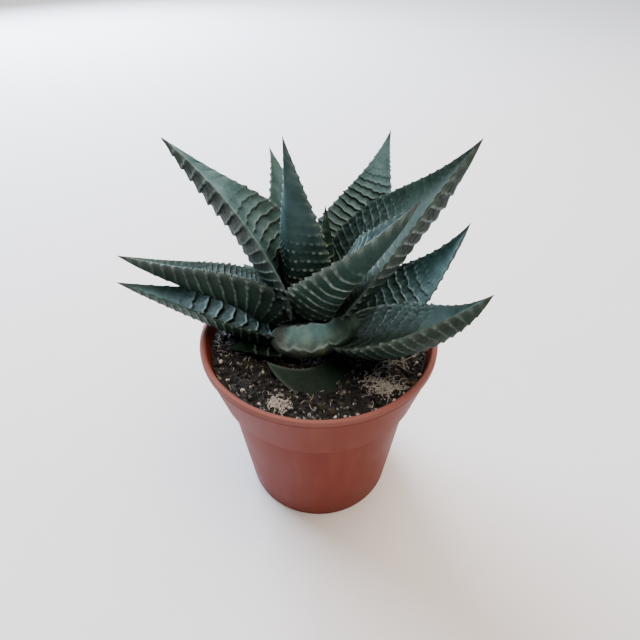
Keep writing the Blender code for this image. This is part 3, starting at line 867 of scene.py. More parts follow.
def waxy_leaf_skin(settings):
    """Leaf cuticle: a fleshy dark green under a thin blue-grey wax, which carries a painted sheen.

    The pale wax is thickest on the outer part of the upper face; towards the crown and over the
    ridged part it thins, as painted shade. Each ridge carries painted shade on its slope, a painted
    shadow under its step and a painted highlight on its lip. The welts of the lower face are white
    and corky and the very tip is dry and brown. Satin, IOR 1.45.
    """
    material, tree = new_material("waxy_leaf_skin")
    rows, turns = uv_pair(tree, "rows")
    welts, steps = uv_pair(tree, "wear")
    film_and_sheen_share, brown = uv_pair(tree, "skin")
    beads, rim = uv_pair(tree, "beads")
    share, _ = uv_pair(tree, "along")
    solid = object_space(tree)
    cloud = ramp(tree, noise(tree, solid, 130.0, 4.0, 0.6), 0.3, 0.7)
    blotch = noise(tree, solid, 45.0, 3.0)
    grain = noise(tree, solid, 900.0, 3.0)

    # Flesh, browned by the sun, under pale wax with a painted sheen; the crown's depth is painted
    # shade.
    flesh = blend(tree, cloud, settings.flesh_dark_code, settings.flesh_code)
    browned = product(tree, brown, ramp(tree, share, 0.25, 0.6))
    flesh = blend(tree, browned, flesh, settings.brown_code)
    film_and_sheen = blend(tree, cloud, settings.thin_film_and_sheen_code, settings.film_and_sheen_code)
    worn = reckon(tree, "MULTIPLY_ADD", blotch, 0.5, 0.75)
    base = blend(tree, product(tree, film_and_sheen_share, worn), flesh, film_and_sheen)
    base = blend(tree, ramp(tree, share, 0.42, 0.02, 0.0, 0.62), base, CROWN_SHADE)

    # Each ridge: painted shade darkening its slope, a painted shadow under its step, and a painted
    # highlight on its lip.
    within = reckon(tree, "FRACT", rows)
    ahead = reckon(tree, "FRACT", reckon(tree, "ADD", rows, 0.5))
    slope = product(tree, ramp(tree, ahead, 0.05, 0.8, 0.0, 0.72), steps)
    base = blend(tree, slope, base, SLOPE_SHADE)
    bead = ramp(tree, reckon(tree, "COSINE", product(tree, turns, 2 * pi)), -0.3, 0.5)
    gap = product(tree, beads, reckon(tree, "SUBTRACT", 1.0, bead))
    whole = reckon(tree, "SUBTRACT", 1.0, gap)
    # Painted shadow under each step.
    under = product(tree, ramp(tree, within, 0.26, 0.40), ramp(tree, within, 0.56, 0.48))
    base = blend(tree, product(tree, under, steps, whole, 0.85), base, UNDER_SHADE)
    # Painted highlight along each lip, in patches; browner where the face is sun-browned.
    lip = ramp(tree, reckon(tree, "ABSOLUTE", reckon(tree, "SUBTRACT", within, 0.58)), 0.12, 0.02)
    lip = product(tree, lip, steps, whole)
    pale = product(tree, lip, ramp(tree, blotch, 0.38, 0.62, 0.1, 0.5))
    base = blend(tree, pale, base, LIP_HIGHLIGHT)
    base = blend(tree, product(tree, lip, 0.55, brown), base, BROWN_LIP_HIGHLIGHT)

    # White corky welts, whole or in beads, some beads missing.
    off = reckon(tree, "ABSOLUTE", reckon(tree, "SUBTRACT", within, WELT_CENTRE))
    wide = reckon(tree, "MULTIPLY_ADD", beads, 0.10, WELT_WIDTH)
    line = ramp(tree, reckon(tree, "DIVIDE", off, wide), 1.0, 0.3)
    cell = reckon(tree, "FLOOR", reckon(tree, "ADD", turns, 0.5))
    cell = add_node(tree, "ShaderNodeCombineXYZ", None, {0: reckon(tree, "FLOOR", rows), 1: cell})
    chance = add_node(tree, "ShaderNodeTexWhiteNoise", {"noise_dimensions": "3D"}, {"Vector": cell})
    chance = ramp(tree, chance, 0.15, 0.55, 0.12, 1.0)
    chance = reckon(tree, "MAXIMUM", chance, reckon(tree, "SUBTRACT", 1.0, beads))
    line = product(tree, line, chance, ramp(tree, blotch, 0.4, 0.6, 0.2, 1.0), whole, welts)
    line = product(tree, line, ramp(tree, grain, 0.25, 0.5, 0.55, 1.0))
    base = blend(tree, line, base, settings.welt_code)

    # The toothed margin and the dry tip.
    dots = reckon(tree, "COSINE", product(tree, rows, 2 * pi))
    edge = product(tree, rim, ramp(tree, dots, -0.6, 0.4, 1.0, 0.45))
    base = blend(tree, edge, base, settings.welt_code)
    base = blend(tree, ramp(tree, share, 0.93, 1.0, 0.0, 0.8), base, DRY_TIP)

    rough = ramp(tree, grain, 0.3, 0.7, 0.52, 0.68, "LINEAR")
    lumps = {"Vector": solid, "Scale": 620.0}
    lumps = add_node(tree, "ShaderNodeTexVoronoi", {"feature": "SMOOTH_F1"}, lumps)
    lumps = product(tree, ramp(tree, lumps, 0.75, 0.1), reckon(tree, "MAXIMUM", steps, welts))
    bump = bumped(tree, grain, 0.35, 0.15 * MM)
    bump = bumped(tree, lumps, 0.7, 0.35 * MM, bump)
    shader = {"Base Color": base, "Roughness": rough, "Normal": bump}
    shader |= {"IOR": 1.45, "Specular IOR Level": 0.13}
    return finish_material(material, "3F5C52", shader)


def scar_skin():
    """Dried scar tissue: pale blue-grey over wrinkled, leathery flesh, with painted light and
    shade.
    """
    material, tree = new_material("dried_leaf_scar")
    fresh, along = uv_pair(tree, "scar")
    facing, crest = uv_pair(tree, "facing")
    cloud = noise(tree, object_space(tree), 220.0, 5.0, 0.65)
    mottle = ramp(tree, cloud, 0.3, 0.7)
    left = blend(tree, mottle, "434F4B", "7A8680")
    middle = blend(tree, mottle, "3D4B42", "6A7864")
    end = blend(tree, mottle, "213831", "3E5A50")
    base = blend(tree, ramp(tree, along, 0.32, 0.5), left, middle)
    base = blend(tree, ramp(tree, along, 0.62, 0.78), base, end)
    # Painted shade on the stub's underside.
    base = blend(tree, ramp(tree, facing, 0.3, 0.02, 0.0, 0.6), base, "1B2821")
    # The pale scar, paler where it faces up: its own colour with painted light.
    scar = blend(tree, ramp(tree, cloud, 0.35, 0.65), "78A9A9", "9CC9C7")
    film_and_sheen = product(tree, fresh, ramp(tree, facing, 0.6, 0.93, 0.2, 0.85))
    base = blend(tree, film_and_sheen, base, scar)
    # Painted highlight along the scar's edge.
    base = blend(tree, product(tree, crest, 0.9), base, "BEDAD7")
    shader = {"Base Color": base, "Roughness": 0.36, "Normal": bumped(tree, cloud, 0.6, 0.8 * MM)}
    return finish_material(material, "7E9A8E", shader)


def terracotta_plastic():
    """Injection-moulded polypropylene, brick red: satin, slightly cloudy, with faint flow lines and
    a painted sheen on the lip.
    """
    material, tree = new_material("moulded_polypropylene_terracotta")
    solid = object_space(tree)
    stretch = {"Vector": solid, "Scale": (1.0, 1.0, 0.12)}
    flow = noise(tree, add_node(tree, "ShaderNodeMapping", None, stretch), 160.0, 3.0)
    cloud = noise(tree, solid, 38.0, 4.0)
    grain = noise(tree, solid, 1400.0, 2.0)
    base = blend(tree, cloud, "6C271A", "773024")
    base = blend(tree, ramp(tree, flow, 0.45, 0.75, 0.0, 0.12, "LINEAR"), base, "A0604F")
    # The lip is painted paler towards its top, a painted sheen along the rim.
    height = add_node(tree, "ShaderNodeSeparateXYZ", None, {0: solid}, output=2)
    rim_sheen = ramp(tree, height, POT_HEIGHT - 2.2 * MM, POT_HEIGHT - 0.6 * MM, 0.0, 0.6)
    base = blend(tree, rim_sheen, base, "8C625C")
    rough = ramp(tree, cloud, 0.3, 0.7, 0.5, 0.62, "LINEAR")
    bump = bumped(tree, grain, 0.12, 0.1 * MM)
    shader = {"Base Color": base, "Roughness": rough, "Normal": bump}
    shader |= {"IOR": 1.49, "Specular IOR Level": 0.15}
    return finish_material(material, "B0645A", shader)


def damp_peat():
    """Damp peat and bark mix: nearly black crumbs with a few grey ones, some of them wet."""
    material, tree = new_material("damp_peat")
    solid = object_space(tree)
    lumps = noise(tree, solid, 520.0, 5.0, 0.7)
    patch = {"Vector": solid, "Scale": 950.0}
    patch = add_node(tree, "ShaderNodeTexVoronoi", None, patch, output=1)
    tint = add_node(tree, "ShaderNodeSeparateXYZ", None, {0: patch})
    _, second, third = tint.node.outputs
    base = blend(tree, ramp(tree, lumps, 0.35, 0.72), "030303", "111010")
    base = blend(tree, ramp(tree, tint, 0.8, 0.95, 0.0, 0.5), base, "2D2B29")
    base = blend(tree, ramp(tree, second, 0.94, 0.98, 0.0, 0.8), base, "85827E")
    rough = ramp(tree, third, 0.2, 0.9, 0.45, 0.95)
    shader = {"Base Color": base, "Roughness": rough, "Normal": bumped(tree, lumps, 1.0, 0.9 * MM)}
    return finish_material(material, "2E2824", shader)


def dry_grain(name, dark, light, roughness=0.9):
    """A dry mineral or plant grain: one speckled colour, matte."""
    material, tree = new_material(name)
    base = blend(tree, noise(tree, object_space(tree), 900.0, 3.0), dark, light)
    return finish_material(material, light, {"Base Color": base, "Roughness": roughness})


def pale_board():
    """Matt painted board under the pot, with a trace of grain."""
    material, tree = new_material("matt_painted_board")
    base = blend(tree, noise(tree, object_space(tree), 60.0, 4.0), "E5E4E6", "EAE9EA")
    return finish_material(material, "E5E4E6", {"Base Color": base, "Roughness": 0.85})


# ------------------------------------------------------------------ pot, soil and stem


def inner_wall_radius(height):
    """Radius of the pot's inside at a height."""
    step = POT_HEIGHT - COLLAR_DEPTH
    if height >= step:
        share = (height - step) / COLLAR_DEPTH
        return COLLAR_BOTTOM_RADIUS + share * (RIM_RADIUS - COLLAR_BOTTOM_RADIUS) - LIP_WIDTH
    return BASE_RADIUS + height / step * (BODY_TOP_RADIUS - BASE_RADIUS) - WALL


def rounded_profile(corners, steps=5):
    """(radius, height) points of a path whose corners are (radius, height, rounding)."""
    points = []
    for i, (radius, height, rounding) in enumerate(corners):
        here = Vector((radius, height))
        if rounding == 0 or i in (0, len(corners) - 1):
            points.append(here)
            continue
        before = Vector(corners[i - 1][:2]) - here
        after = Vector(corners[i + 1][:2]) - here
        reach = min(rounding, 0.48 * before.length, 0.48 * after.length)
        start, end = here + reach * before.normalized(), here + reach * after.normalized()
        for k in range(steps + 1):
            t = k / steps
            points.append((1 - t) ** 2 * start + 2 * t * (1 - t) * here + t**2 * end)
    return points


def lathe(name, profile, segments, centre=(0.0, 0.0)):
    """Turns (radius, height) points about a vertical axis and closes both ends."""
    turn = np.linspace(0, 2 * pi, segments, endpoint=False)
    rows = np.array(
        [[(r * cos(a) + centre[0], r * sin(a) + centre[1], z) for a in turn] for r, z in profile]
    )
    return closed_skin(name, rows)


def make_pot():
    """The pot: centre pad, recessed underside, foot ring, tapered body, stepped collar and lip."""
    step = POT_HEIGHT - COLLAR_DEPTH
    under_lip = POT_HEIGHT - LIP_HEIGHT
    foot_inside = BASE_RADIUS - FOOT_RING_WIDTH
    slope = RECESS_SLOPE * RECESS
    corners = [
        (PAD_RADIUS, 0.0, 0),
        (PAD_RADIUS + slope, RECESS, 0.4 * MM),
        (foot_inside - slope, RECESS, 0.4 * MM),
        (foot_inside, 0.0, 0.3 * MM),
        (BASE_RADIUS, 0.0, 0.9 * MM),
        (BODY_TOP_RADIUS, step - 0.75 * STEP_RISE, 0.7 * MM),
        (COLLAR_BOTTOM_RADIUS, step - 0.1 * STEP_RISE, 0.9 * MM),
        (RIM_RADIUS - 0.5 * MM, under_lip - 0.5 * MM, 0.5 * MM),
        (RIM_RADIUS, under_lip, 0.4 * MM),
        (RIM_RADIUS, POT_HEIGHT, 0.9 * MM),
        (RIM_RADIUS - LIP_WIDTH, POT_HEIGHT, 0.9 * MM),
        (inner_wall_radius(step), step, 0.5 * MM),
        (inner_wall_radius(step - STEP_RISE), step - STEP_RISE, 0.5 * MM),
        (inner_wall_radius(FLOOR), FLOOR, 0.8 * MM),
        (DRAIN_CIRCLE + 2 * DRAIN_RADIUS, FLOOR, 0),
        (PAD_RADIUS, FLOOR, 0),
    ]
    pot = lathe("nursery_pot", rounded_profile(corners), POT_SEGMENTS)
    drills = []
    for i in range(DRAIN_HOLES):
        angle = 2 * pi * (i + 0.5) / DRAIN_HOLES
        centre = (DRAIN_CIRCLE * cos(angle), DRAIN_CIRCLE * sin(angle))
        ends = [(DRAIN_RADIUS, -FLOOR), (DRAIN_RADIUS, 2 * FLOOR)]
        drills.append(lathe("drill", ends, DRAIN_SEGMENTS, centre))
    cut(pot, drills)
    for drill in drills:
        bpy.data.objects.remove(drill)
    shade_smooth(pot, sharp=35)
    return pot


def soil_height(x, y):
    """Height of the soil's surface: gentle lumps, and a dip towards the crown."""
    along_x, along_y, across = LUMP_LENGTHS
    lumps = np.sin(x / along_x + 0.7) * np.cos(y / along_y) + 0.6 * np.sin((x + 1.7 * y) / across)
    from_crown = np.hypot(x - CROWN[0], y - CROWN[1])
    dip = DIP_DEPTH * np.clip(1 - from_crown / DIP_RADIUS, 0, 1) ** DIP_POWER
    return SOIL_HEIGHT + SOIL_LUMP * lumps - dip


def clods(x, y):
    """Small irregular clods on the soil's surface, in metres."""
    a, b = x / MM, y / MM
    first = np.sin(1.9 * a + 1.3 * np.sin(0.9 * b)) * np.sin(2.1 * b + 1.7 * np.sin(0.7 * a))
    second = np.sin(3.7 * a - 2.2 * b + 2 * np.sin(0.5 * a)) * np.sin(3.1 * b + 1.9 * a)
    return (0.42 * first + 0.3 * second) * MM


def make_soil():
    """The potting mix: it fills the pot to just under the rim."""
    step = POT_HEIGHT - COLLAR_DEPTH
    bottom = FLOOR + SOIL_GAP
    sides = (bottom + 1 * MM, step - STEP_RISE, step + SOIL_GAP, SOIL_HEIGHT - 1 * MM)
    foot = inner_wall_radius(bottom)
    profile = [(0.5 * foot, bottom), (foot - 1 * MM - SOIL_GAP, bottom)]
    profile += [(inner_wall_radius(height) - SOIL_GAP, height) for height in sides]
    turn = np.linspace(0, 2 * pi, SOIL_SEGMENTS, endpoint=False)
    rows = [[(r * cos(a), r * sin(a), z) for a in turn] for r, z in profile]
    edge = profile[-1][0]
    for share in np.linspace(1, 0.01, SOIL_RINGS):
        x, y = edge * share * np.cos(turn), edge * share * np.sin(turn)
        z = soil_height(x, y) + clods(x, y) * min(1.0, 12 * (1 - share))
        rows.append(np.stack([x, y, z], axis=-1).tolist())
    return closed_skin("potting_mix", np.array(rows))


def make_stem(name, grow=0.0):
    """The short stem and its tapering rootstock; grow makes a larger one, to cut with."""
    profile = [
        (ROOT_TIP_RADIUS + grow, ROOT_TIP - grow),
        (0.55 * STEM_RADIUS + grow, 0.5 * (ROOT_TIP + ROOT_TOP)),
        (STEM_RADIUS + grow, ROOT_TOP),
        (STEM_RADIUS + grow, STEM_TOP - 1.5 * MM),
        (0.7 * STEM_RADIUS + grow, STEM_TOP + grow),
    ]
    return lathe(name, profile, STEM_SEGMENTS, (CROWN[0], CROWN[1]))


# ------------------------------------------------------------------ loose bits


def bits_tree(material, faces_level):
    """Geometry Nodes: a rough grain on every point of the mesh, its size read from the points."""
    tree = bpy.data.node_groups.new("grains_on_points", "GeometryNodeTree")

    def outside(name, kind, way="INPUT"):
        kind = "NodeSocket" + kind
        return tree.interface.new_socket(name, in_out=way, socket_type=kind).identifier

    def vectors(operation, inputs):
        return add_node(tree, "ShaderNodeVectorMath", {"operation": operation}, inputs)

    def random_vector(low, high):
        inputs = {0: low, 1: high, "Seed": group.outputs["Seed"]}
        return add_node(tree, "FunctionNodeRandomValue", {"data_type": "FLOAT_VECTOR"}, inputs)

    outside("Geometry", "Geometry")
    sockets = {
        "size": outside("Grain size", "Float"),
        "rough": outside("Roughness of shape", "Float"),
        "seed": outside("Seed", "Int"),
    }
    outside("Geometry", "Geometry", "OUTPUT")
    group = tree.nodes.new("NodeGroupInput")
    own = {"Name": "size"}
    own = add_node(tree, "GeometryNodeInputNamedAttribute", {"data_type": "FLOAT"}, own)
    scale = reckon(tree, "MULTIPLY", own, group.outputs["Grain size"])
    stretch = random_vector((0.65, 0.65, 0.5), (1.25, 1.25, 1.0))
    scale = vectors("SCALE", {0: stretch, "Scale": scale})
    spin = random_vector((0.0, 0.0, 0.0), (2 * pi, 2 * pi, 2 * pi))
    spin = add_node(tree, "FunctionNodeEulerToRotation", None, {0: spin})
    ball = {"Radius": 0.5, "Subdivisions": faces_level}
    ball = add_node(tree, "GeometryNodeMeshIcoSphere", None, ball)
    points = {"Mesh": group.outputs["Geometry"]}
    points = add_node(tree, "GeometryNodeMeshToPoints", None, points)
    placed = {"Points": points, "Instance": ball, "Rotation": spin, "Scale": scale}
    placed = add_node(tree, "GeometryNodeInstanceOnPoints", None, placed)
    real = add_node(tree, "GeometryNodeRealizeInstances", None, {"Geometry": placed})
    where = {"Vector": add_node(tree, "GeometryNodeInputPosition"), "Scale": 900.0, "Detail": 1.0}
    dents = add_node(tree, "ShaderNodeTexNoise", None, where, output=1)
    dents = vectors("SUBTRACT", {0: dents, 1: (0.5, 0.5, 0.5)})
    dents = vectors("SCALE", {0: dents, "Scale": group.outputs["Roughness of shape"]})
    shaped = add_node(tree, "GeometryNodeSetPosition", None, {"Geometry": real, "Offset": dents})
    dressed = {"Geometry": shaped, "Material": material}
    dressed = add_node(tree, "GeometryNodeSetMaterial", None, dressed)
    add_node(tree, "NodeGroupOutput", None, {0: dressed})
    return tree, sockets


def scatter(name, places, sizes, material, rough, level=1):
    """Turns a cloud of points with sizes into one plain mesh of grains."""
    mesh = bpy.data.meshes.new(name)
    mesh.from_pydata([tuple(p) for p in places], [], [])
    mesh.attributes.new("size", "FLOAT", "POINT").data.foreach_set("value", list(sizes))
    obj = new_object(name, mesh)
    tree, sockets = bits_tree(material, level)
    modifier = obj.modifiers.new("grains", "NODES")
    modifier.node_group = tree
    modifier[sockets["size"]] = 1.0
    modifier[sockets["rough"]] = rough
    modifier[sockets["seed"]] = GRAIN_SEED
    bake(obj)
    if not obj.data.polygons:
        raise RuntimeError(f"{name} came out empty")
    hand_over(obj, material, "potting_mix")


def surface_points(rng, count):
    """Random places on the soil, clear of the crown and of the pot's wall."""
    outer = inner_wall_radius(SOIL_HEIGHT) - CLEAR_OF_WALL
    places = []
    while len(places) < count:
        radius, angle = outer * rng.random() ** 0.5, 2 * pi * rng.random()
        x, y = radius * cos(angle), radius * sin(angle)
        if hypot(x - CROWN[0], y - CROWN[1]) > CLEAR_OF_CROWN:
            places.append((x, y, float(soil_height(x, y) + clods(x, y))))
    return places


def random_bits(rng, count, least, more, power):
    """Random (x, y, size) in millimetres on the soil, most of them near the least size."""
    places = surface_points(rng, count)
    return tuple((x / MM, y / MM, least + more * rng.random() ** power) for x, y, _ in places)


def on_soil(listed, lift):
    """The place of each (x, y, size) in millimetres, raised by a share of its size."""
    places = [(x * MM, y * MM, lift * size * MM) for x, y, size in listed]
    return [(x, y, float(soil_height(x, y)) + raised) for x, y, raised in places]


def sizes_of(listed):
    """The size of each (x, y, size), in metres."""
    return [size * MM for _, _, size in listed]


def scatter_listed(name, listed, material, rough, level=1, lift=BIT_LIFT):
    """Grains at each (x, y, size) in millimetres on the soil."""
    scatter(name, on_soil(listed, lift), sizes_of(listed), material, rough, level)


def tuft_bits(rng):
    """(x, y, size) in millimetres of every grain of the dry tufts."""
    bits = []
    for x, y, spread, count in TUFTS:
        for _ in range(count):
            dx, dy = spread * rng.normal(size=2)
            bits.append((x + dx, y + 0.7 * dy, 0.35 + 0.5 * rng.random()))
    return bits


def make_fibres(rng):
    """The strands of dry root and the loose fibres, without any that would reach the wall."""
    rows = []
    for x, y, count, size in STRANDS:
        for _ in range(count):
            px, py = (x + 2.0 * rng.normal()) * MM, (y + 1.6 * rng.normal()) * MM
            start = (px, py, float(soil_height(px, py)) + 0.5 * MM)
            length = size * MM * (0.5 + 0.8 * rng.random())
            heading, bend, lift = 2 * pi * rng.random(), 1.6 * rng.normal(), 0.5 * rng.random()
            rows.append(fibre_rows(start, heading, length, bend, lift, STRAND_RADIUS))
    for x, y, _ in surface_points(rng, LOOSE_FIBRES):
        start = (x, y, float(soil_height(x, y)) + 0.4 * MM)
        length = FIBRE_LENGTH * (0.5 + rng.random())
        heading, bend = 2 * pi * rng.random(), 1.5 * rng.normal()
        rows.append(fibre_rows(start, heading, length, bend, 0.25, FIBRE_RADIUS))
    wall = inner_wall_radius(SOIL_HEIGHT) - 0.5 * MM
    inside = [ring for ring in rows if np.hypot(ring[..., 0], ring[..., 1]).max() < wall]
    return join_as("dry_fibres", [closed_skin("strand", ring) for ring in inside])


def fibre_rows(start, heading, length, bend, lift, radius):
    """Rings of a thin curved root or straw fibre lying on the soil."""
    steps, sides = 9, 5
    turn = np.linspace(0, 2 * pi, sides, endpoint=False)
    point = np.array(start, float)
    rows = []
    for i in range(steps + 1):
        t = i / steps
        angle = heading + bend * t
        along = np.array((cos(angle), sin(angle), lift * (1 - 2 * t)))
        along = along / np.linalg.norm(along)
        side = np.cross(along, UP)
        side = side / np.linalg.norm(side)
        over = np.cross(side, along)
        width = radius * (1 - 0.6 * t)
        ring = point + width * (np.cos(turn)[:, None] * side + np.sin(turn)[:, None] * over)
        rows.append(ring)
        point = point + along * length / steps
    return np.array(rows)


def join_as(name, parts):
    """Joins mesh objects into one."""
    builder = bmesh.new()
    for part in parts:
        builder.from_mesh(part.data)
        bpy.data.objects.remove(part)
    mesh = bpy.data.meshes.new(name)
    builder.to_mesh(mesh)
    builder.free()
    return new_object(name, mesh)


# ------------------------------------------------------------------ settings


class HaworthiaLeafSettings(bpy.types.PropertyGroup):
    flesh_code: bpy.props.StringProperty(
        name="Flesh", description="Green of the leaf's lower face, as sRGB hex", default="20392D"
    )
    flesh_dark_code: bpy.props.StringProperty(
        name="Dark flesh",
        description="Darkest green of the lower face, as sRGB hex",
        default="11261C",
    )
    # These two colours are the pale wax of the upper face together with a painted sheen.
    film_and_sheen_code: bpy.props.StringProperty(
        name="Bloom", description="Pale wax of the upper face, as sRGB hex", default="6C8E96"
    )
    thin_film_and_sheen_code: bpy.props.StringProperty(
        name="Thin bloom", description="The wax where it is thin, as sRGB hex", default="46686C"
    )
    brown_code: bpy.props.StringProperty(
        name="Browned flesh", description="Sun-browned lower face, as sRGB hex", default="42423A"
    )
    welt_code: bpy.props.StringProperty(
        name="Welts", description="Corky white welts and dots, as sRGB hex", default="8A988F"
    )


class HaworthiaSoilSettings(bpy.types.PropertyGroup):
    crumbs: bpy.props.IntProperty(
        name="Crumbs",
        description="Number of loose crumbs on the soil",
        default=3000,
        min=0,
        max=5000,
    )
    crumb_size: bpy.props.FloatProperty(
        name="Crumb size",
        description="Size of a middling crumb across",
        default=1.3 * MM,
        min=0.2 * MM,
        max=4 * MM,
        unit="LENGTH",
    )
    seed: bpy.props.IntProperty(name="Seed", description="Seed of the scattering", default=11)


class HaworthiaStageSettings(bpy.types.PropertyGroup):
    floor_size: bpy.props.FloatProperty(
        name="Floor size",
        description="Side of the square floor",
        default=14.0,
        min=1.0,
        unit="LENGTH",
    )
    key_power: bpy.props.FloatProperty(
        name="Key light",
        description="Power of the large soft light",
        default=82.0,
        min=0.0,
        unit="POWER",
    )
    ambient: bpy.props.FloatProperty(
        name="Ambient",
        description="Strength of the even light from all round",
        default=0.25,
        min=0.0,
    )


# ------------------------------------------------------------------ operators


class HAWORTHIA_OT_leaves(bpy.types.Operator):
    """Make the ridged leaves and the stub of the lost one"""

    bl_idname = "haworthia.leaves"
    bl_label = "Make Leaves"

    def execute(self, context):
        skin = waxy_leaf_skin(context.scene.haworthia_leaves)
        sleeves = [make_stem("sleeve_stem", grow=STUB_GAP)]
        for leaf in LEAVES:
            blade = make_blade(leaf)
            trim(blade, sleeves, sharp=55)
            hand_over(blade, skin, "leaf_skin", leaf.name)
            sleeves.append(make_sleeve(leaf))
            if leaf.name == STUB_AFTER:
                rows, maps = stub_rows(*STUB_MESH, wrinkle=STUB_WRINKLE)
                stub = closed_skin("scarred_stub", rows, maps=maps)
                trim(stub, sleeves, sharp=50)
                hand_over(stub, scar_skin(), "scar_skin", "leaf_stub")
                rows, _ = stub_rows(*STUB_SLEEVE_MESH, grow=STUB_GAP)
                sleeves.append(closed_skin("sleeve_stub", rows))
        low_leaf = closed_skin("blade_17", *low_leaf_rows())
        trim(low_leaf, sleeves, sharp=55)
        hand_over(low_leaf, skin, "leaf_skin", "leaf_17")
        for sleeve in sleeves:
            bpy.data.objects.remove(sleeve)
        return {"FINISHED"}


class HAWORTHIA_OT_stem(bpy.types.Operator):
    """Make the short stem"""

    bl_idname = "haworthia.stem"
    bl_label = "Make Stem"

    def execute(self, context):
        bark = dry_grain("corky_stem_bark", "323224", "51503D")
        stem = make_stem("crown_stem")
        shade_smooth(stem, sharp=30)
        hand_over(stem, bark, "stem_skin", "stem")
        return {"FINISHED"}


class HAWORTHIA_OT_pot(bpy.types.Operator):
    """Make the plastic nursery pot"""

    bl_idname = "haworthia.pot"
    bl_label = "Make Pot"

    def execute(self, context):
        hand_over(make_pot(), terracotta_plastic(), "terracotta_plastic", "pot")
        return {"FINISHED"}


class HAWORTHIA_OT_soil(bpy.types.Operator):
    """Make the potting mix and its loose crumbs"""

    bl_idname = "haworthia.soil"
    bl_label = "Make Soil"

    def execute(self, context):
        settings = context.scene.haworthia_soil
        rng = np.random.default_rng(settings.seed)
        peat = damp_peat()
        soil = make_soil()
        shade_smooth(soil, sharp=60)
        hand_over(soil, peat, "potting_mix", "soil")
        places = surface_points(rng, settings.crumbs)
        sizes = settings.crumb_size * (0.4 + 1.7 * rng.random(len(places)) ** 3)
        scatter("peat_crumbs", places, sizes, peat, 1.1 * MM)
        return {"FINISHED"}


class HAWORTHIA_OT_bits(bpy.types.Operator):
    """Make the perlite, pebbles, dry tufts and fibres on the soil"""

    bl_idname = "haworthia.bits"
    bl_label = "Make Loose Bits"

    def execute(self, context):
        rng = np.random.default_rng(context.scene.haworthia_soil.seed + 1)
        perlite = PERLITE + random_bits(rng, SMALL_PERLITE, 0.35, 0.6, 3)
        white = dry_grain("perlite", "94918B", "C6C4BD")
        scatter_listed("perlite_bits", perlite, white, 0.8 * MM, 2)
        grit = PEBBLES + random_bits(rng, GRIT_FLECKS, 0.4, 0.7, 2)
        stone = dry_grain("grey_grit", "45494B", "8D9396", 0.45)
        scatter_listed("grit_bits", grit, stone, 0.6 * MM)
        bark = dry_grain("bark_chip", "4A3A24", "705E3C")
        scatter_listed("bark_chips", CHIPS, bark, 0.8 * MM, 2)
        wood = dry_grain("damp_bark_lump", "1C1A12", "35321F", 0.7)
        scatter_listed("bark_lumps", BARK, wood, 1.2 * MM, 2, lift=0.1)
        straw = dry_grain("dry_root_straw", "8C8884", "D0CCC6")
        tufts = tuft_bits(rng)
        lifted = [(x, y, z + 0.9 * MM * rng.random()) for x, y, z in on_soil(tufts, BIT_LIFT)]
        scatter("tuft_grains", lifted, sizes_of(tufts), straw, 0.5 * MM)
        fibres = make_fibres(rng)
        shade_smooth(fibres, sharp=60)
        hand_over(fibres, straw, "potting_mix")
        return {"FINISHED"}


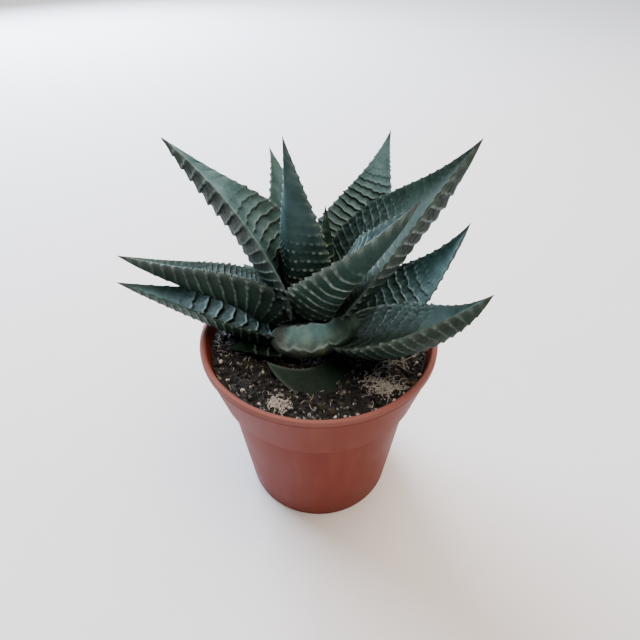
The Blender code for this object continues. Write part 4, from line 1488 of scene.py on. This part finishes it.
class HAWORTHIA_OT_stage(bpy.types.Operator):
    """Make the floor, the studio light and the camera"""

    bl_idname = "haworthia.stage"
    bl_label = "Make Stage"

    def execute(self, context):
        settings = context.scene.haworthia_stage
        scene = context.scene
        half = settings.floor_size / 2
        corners = [(-half, -half, 0), (half, -half, 0), (half, half, 0), (-half, half, 0)]
        mesh = bpy.data.meshes.new("studio_floor")
        mesh.from_pydata(corners, [], [(0, 1, 2, 3)])
        mesh.materials.append(pale_board())
        floor = new_object("studio_floor", mesh)
        world = bpy.data.worlds.new("studio_air")
        world.use_nodes = True
        background = world.node_tree.nodes["Background"].inputs
        background["Color"].default_value = linear_colour(AIR_COLOUR)
        background["Strength"].default_value = settings.ambient
        scene.world = world
        for name, place, size, target, share, colour in LIGHTS:
            self.add_light(name, place, size, target, share * settings.key_power, colour)
        scene.camera = self.add_camera()
        return {"FINISHED"}

    def add_light(self, name, place, size, target, power, colour):
        """One soft rectangular light, turned towards a point."""
        light = bpy.data.lights.new(name, "AREA")
        light.shape = "RECTANGLE"
        light.size, light.size_y = size
        light.energy = power
        light.color = linear_colour(colour)[:3]
        turn = (Vector(target) - Vector(place)).to_track_quat("-Z", "Y").to_matrix()
        new_object(name, light).matrix_world = Matrix.Translation(place) @ turn.to_4x4()

    def add_camera(self):
        """A close, steep view from the front."""
        slope = radians(CAMERA_SLOPE)
        axis = Vector((CAMERA_TURN, cos(slope), -sin(slope))).normalized()
        right = axis.cross(Vector(UP)).normalized()
        turn = Matrix((right, right.cross(axis), -axis)).transposed().to_4x4()
        lens = bpy.data.cameras.new("front_camera")
        lens.lens = CAMERA_LENS
        lens.sensor_width = 36.0
        lens.clip_start = 0.01
        camera = new_object("front_camera", lens)
        camera.matrix_world = Matrix.Translation(CAMERA_PLACE) @ turn
        return camera


class HAWORTHIA_PT_panel(bpy.types.Panel):
    bl_label = "Potted Haworthia"
    bl_space_type = "VIEW_3D"
    bl_region_type = "UI"
    bl_category = "Haworthia"

    def draw(self, context):
        for operator in OPERATORS:
            self.layout.operator(operator.bl_idname)


OPERATORS = (
    HAWORTHIA_OT_pot,
    HAWORTHIA_OT_soil,
    HAWORTHIA_OT_stem,
    HAWORTHIA_OT_leaves,
    HAWORTHIA_OT_bits,
    HAWORTHIA_OT_stage,
)
SETTINGS = (
    ("haworthia_leaves", HaworthiaLeafSettings),
    ("haworthia_soil", HaworthiaSoilSettings),
    ("haworthia_stage", HaworthiaStageSettings),
)


def register():
    for name, group in SETTINGS:
        bpy.utils.register_class(group)
        setattr(bpy.types.Scene, name, bpy.props.PointerProperty(type=group))
    for cls in (*OPERATORS, HAWORTHIA_PT_panel):
        bpy.utils.register_class(cls)


def unregister():
    for cls in reversed((*OPERATORS, HAWORTHIA_PT_panel)):
        bpy.utils.unregister_class(cls)
    for name, group in reversed(SETTINGS):
        delattr(bpy.types.Scene, name)
        bpy.utils.unregister_class(group)


def main():
    register()
    bpy.ops.haworthia.pot()
    bpy.ops.haworthia.soil()
    bpy.ops.haworthia.stem()
    bpy.ops.haworthia.leaves()
    bpy.ops.haworthia.bits()
    bpy.ops.haworthia.stage()


if __name__ == "__main__":
    main()
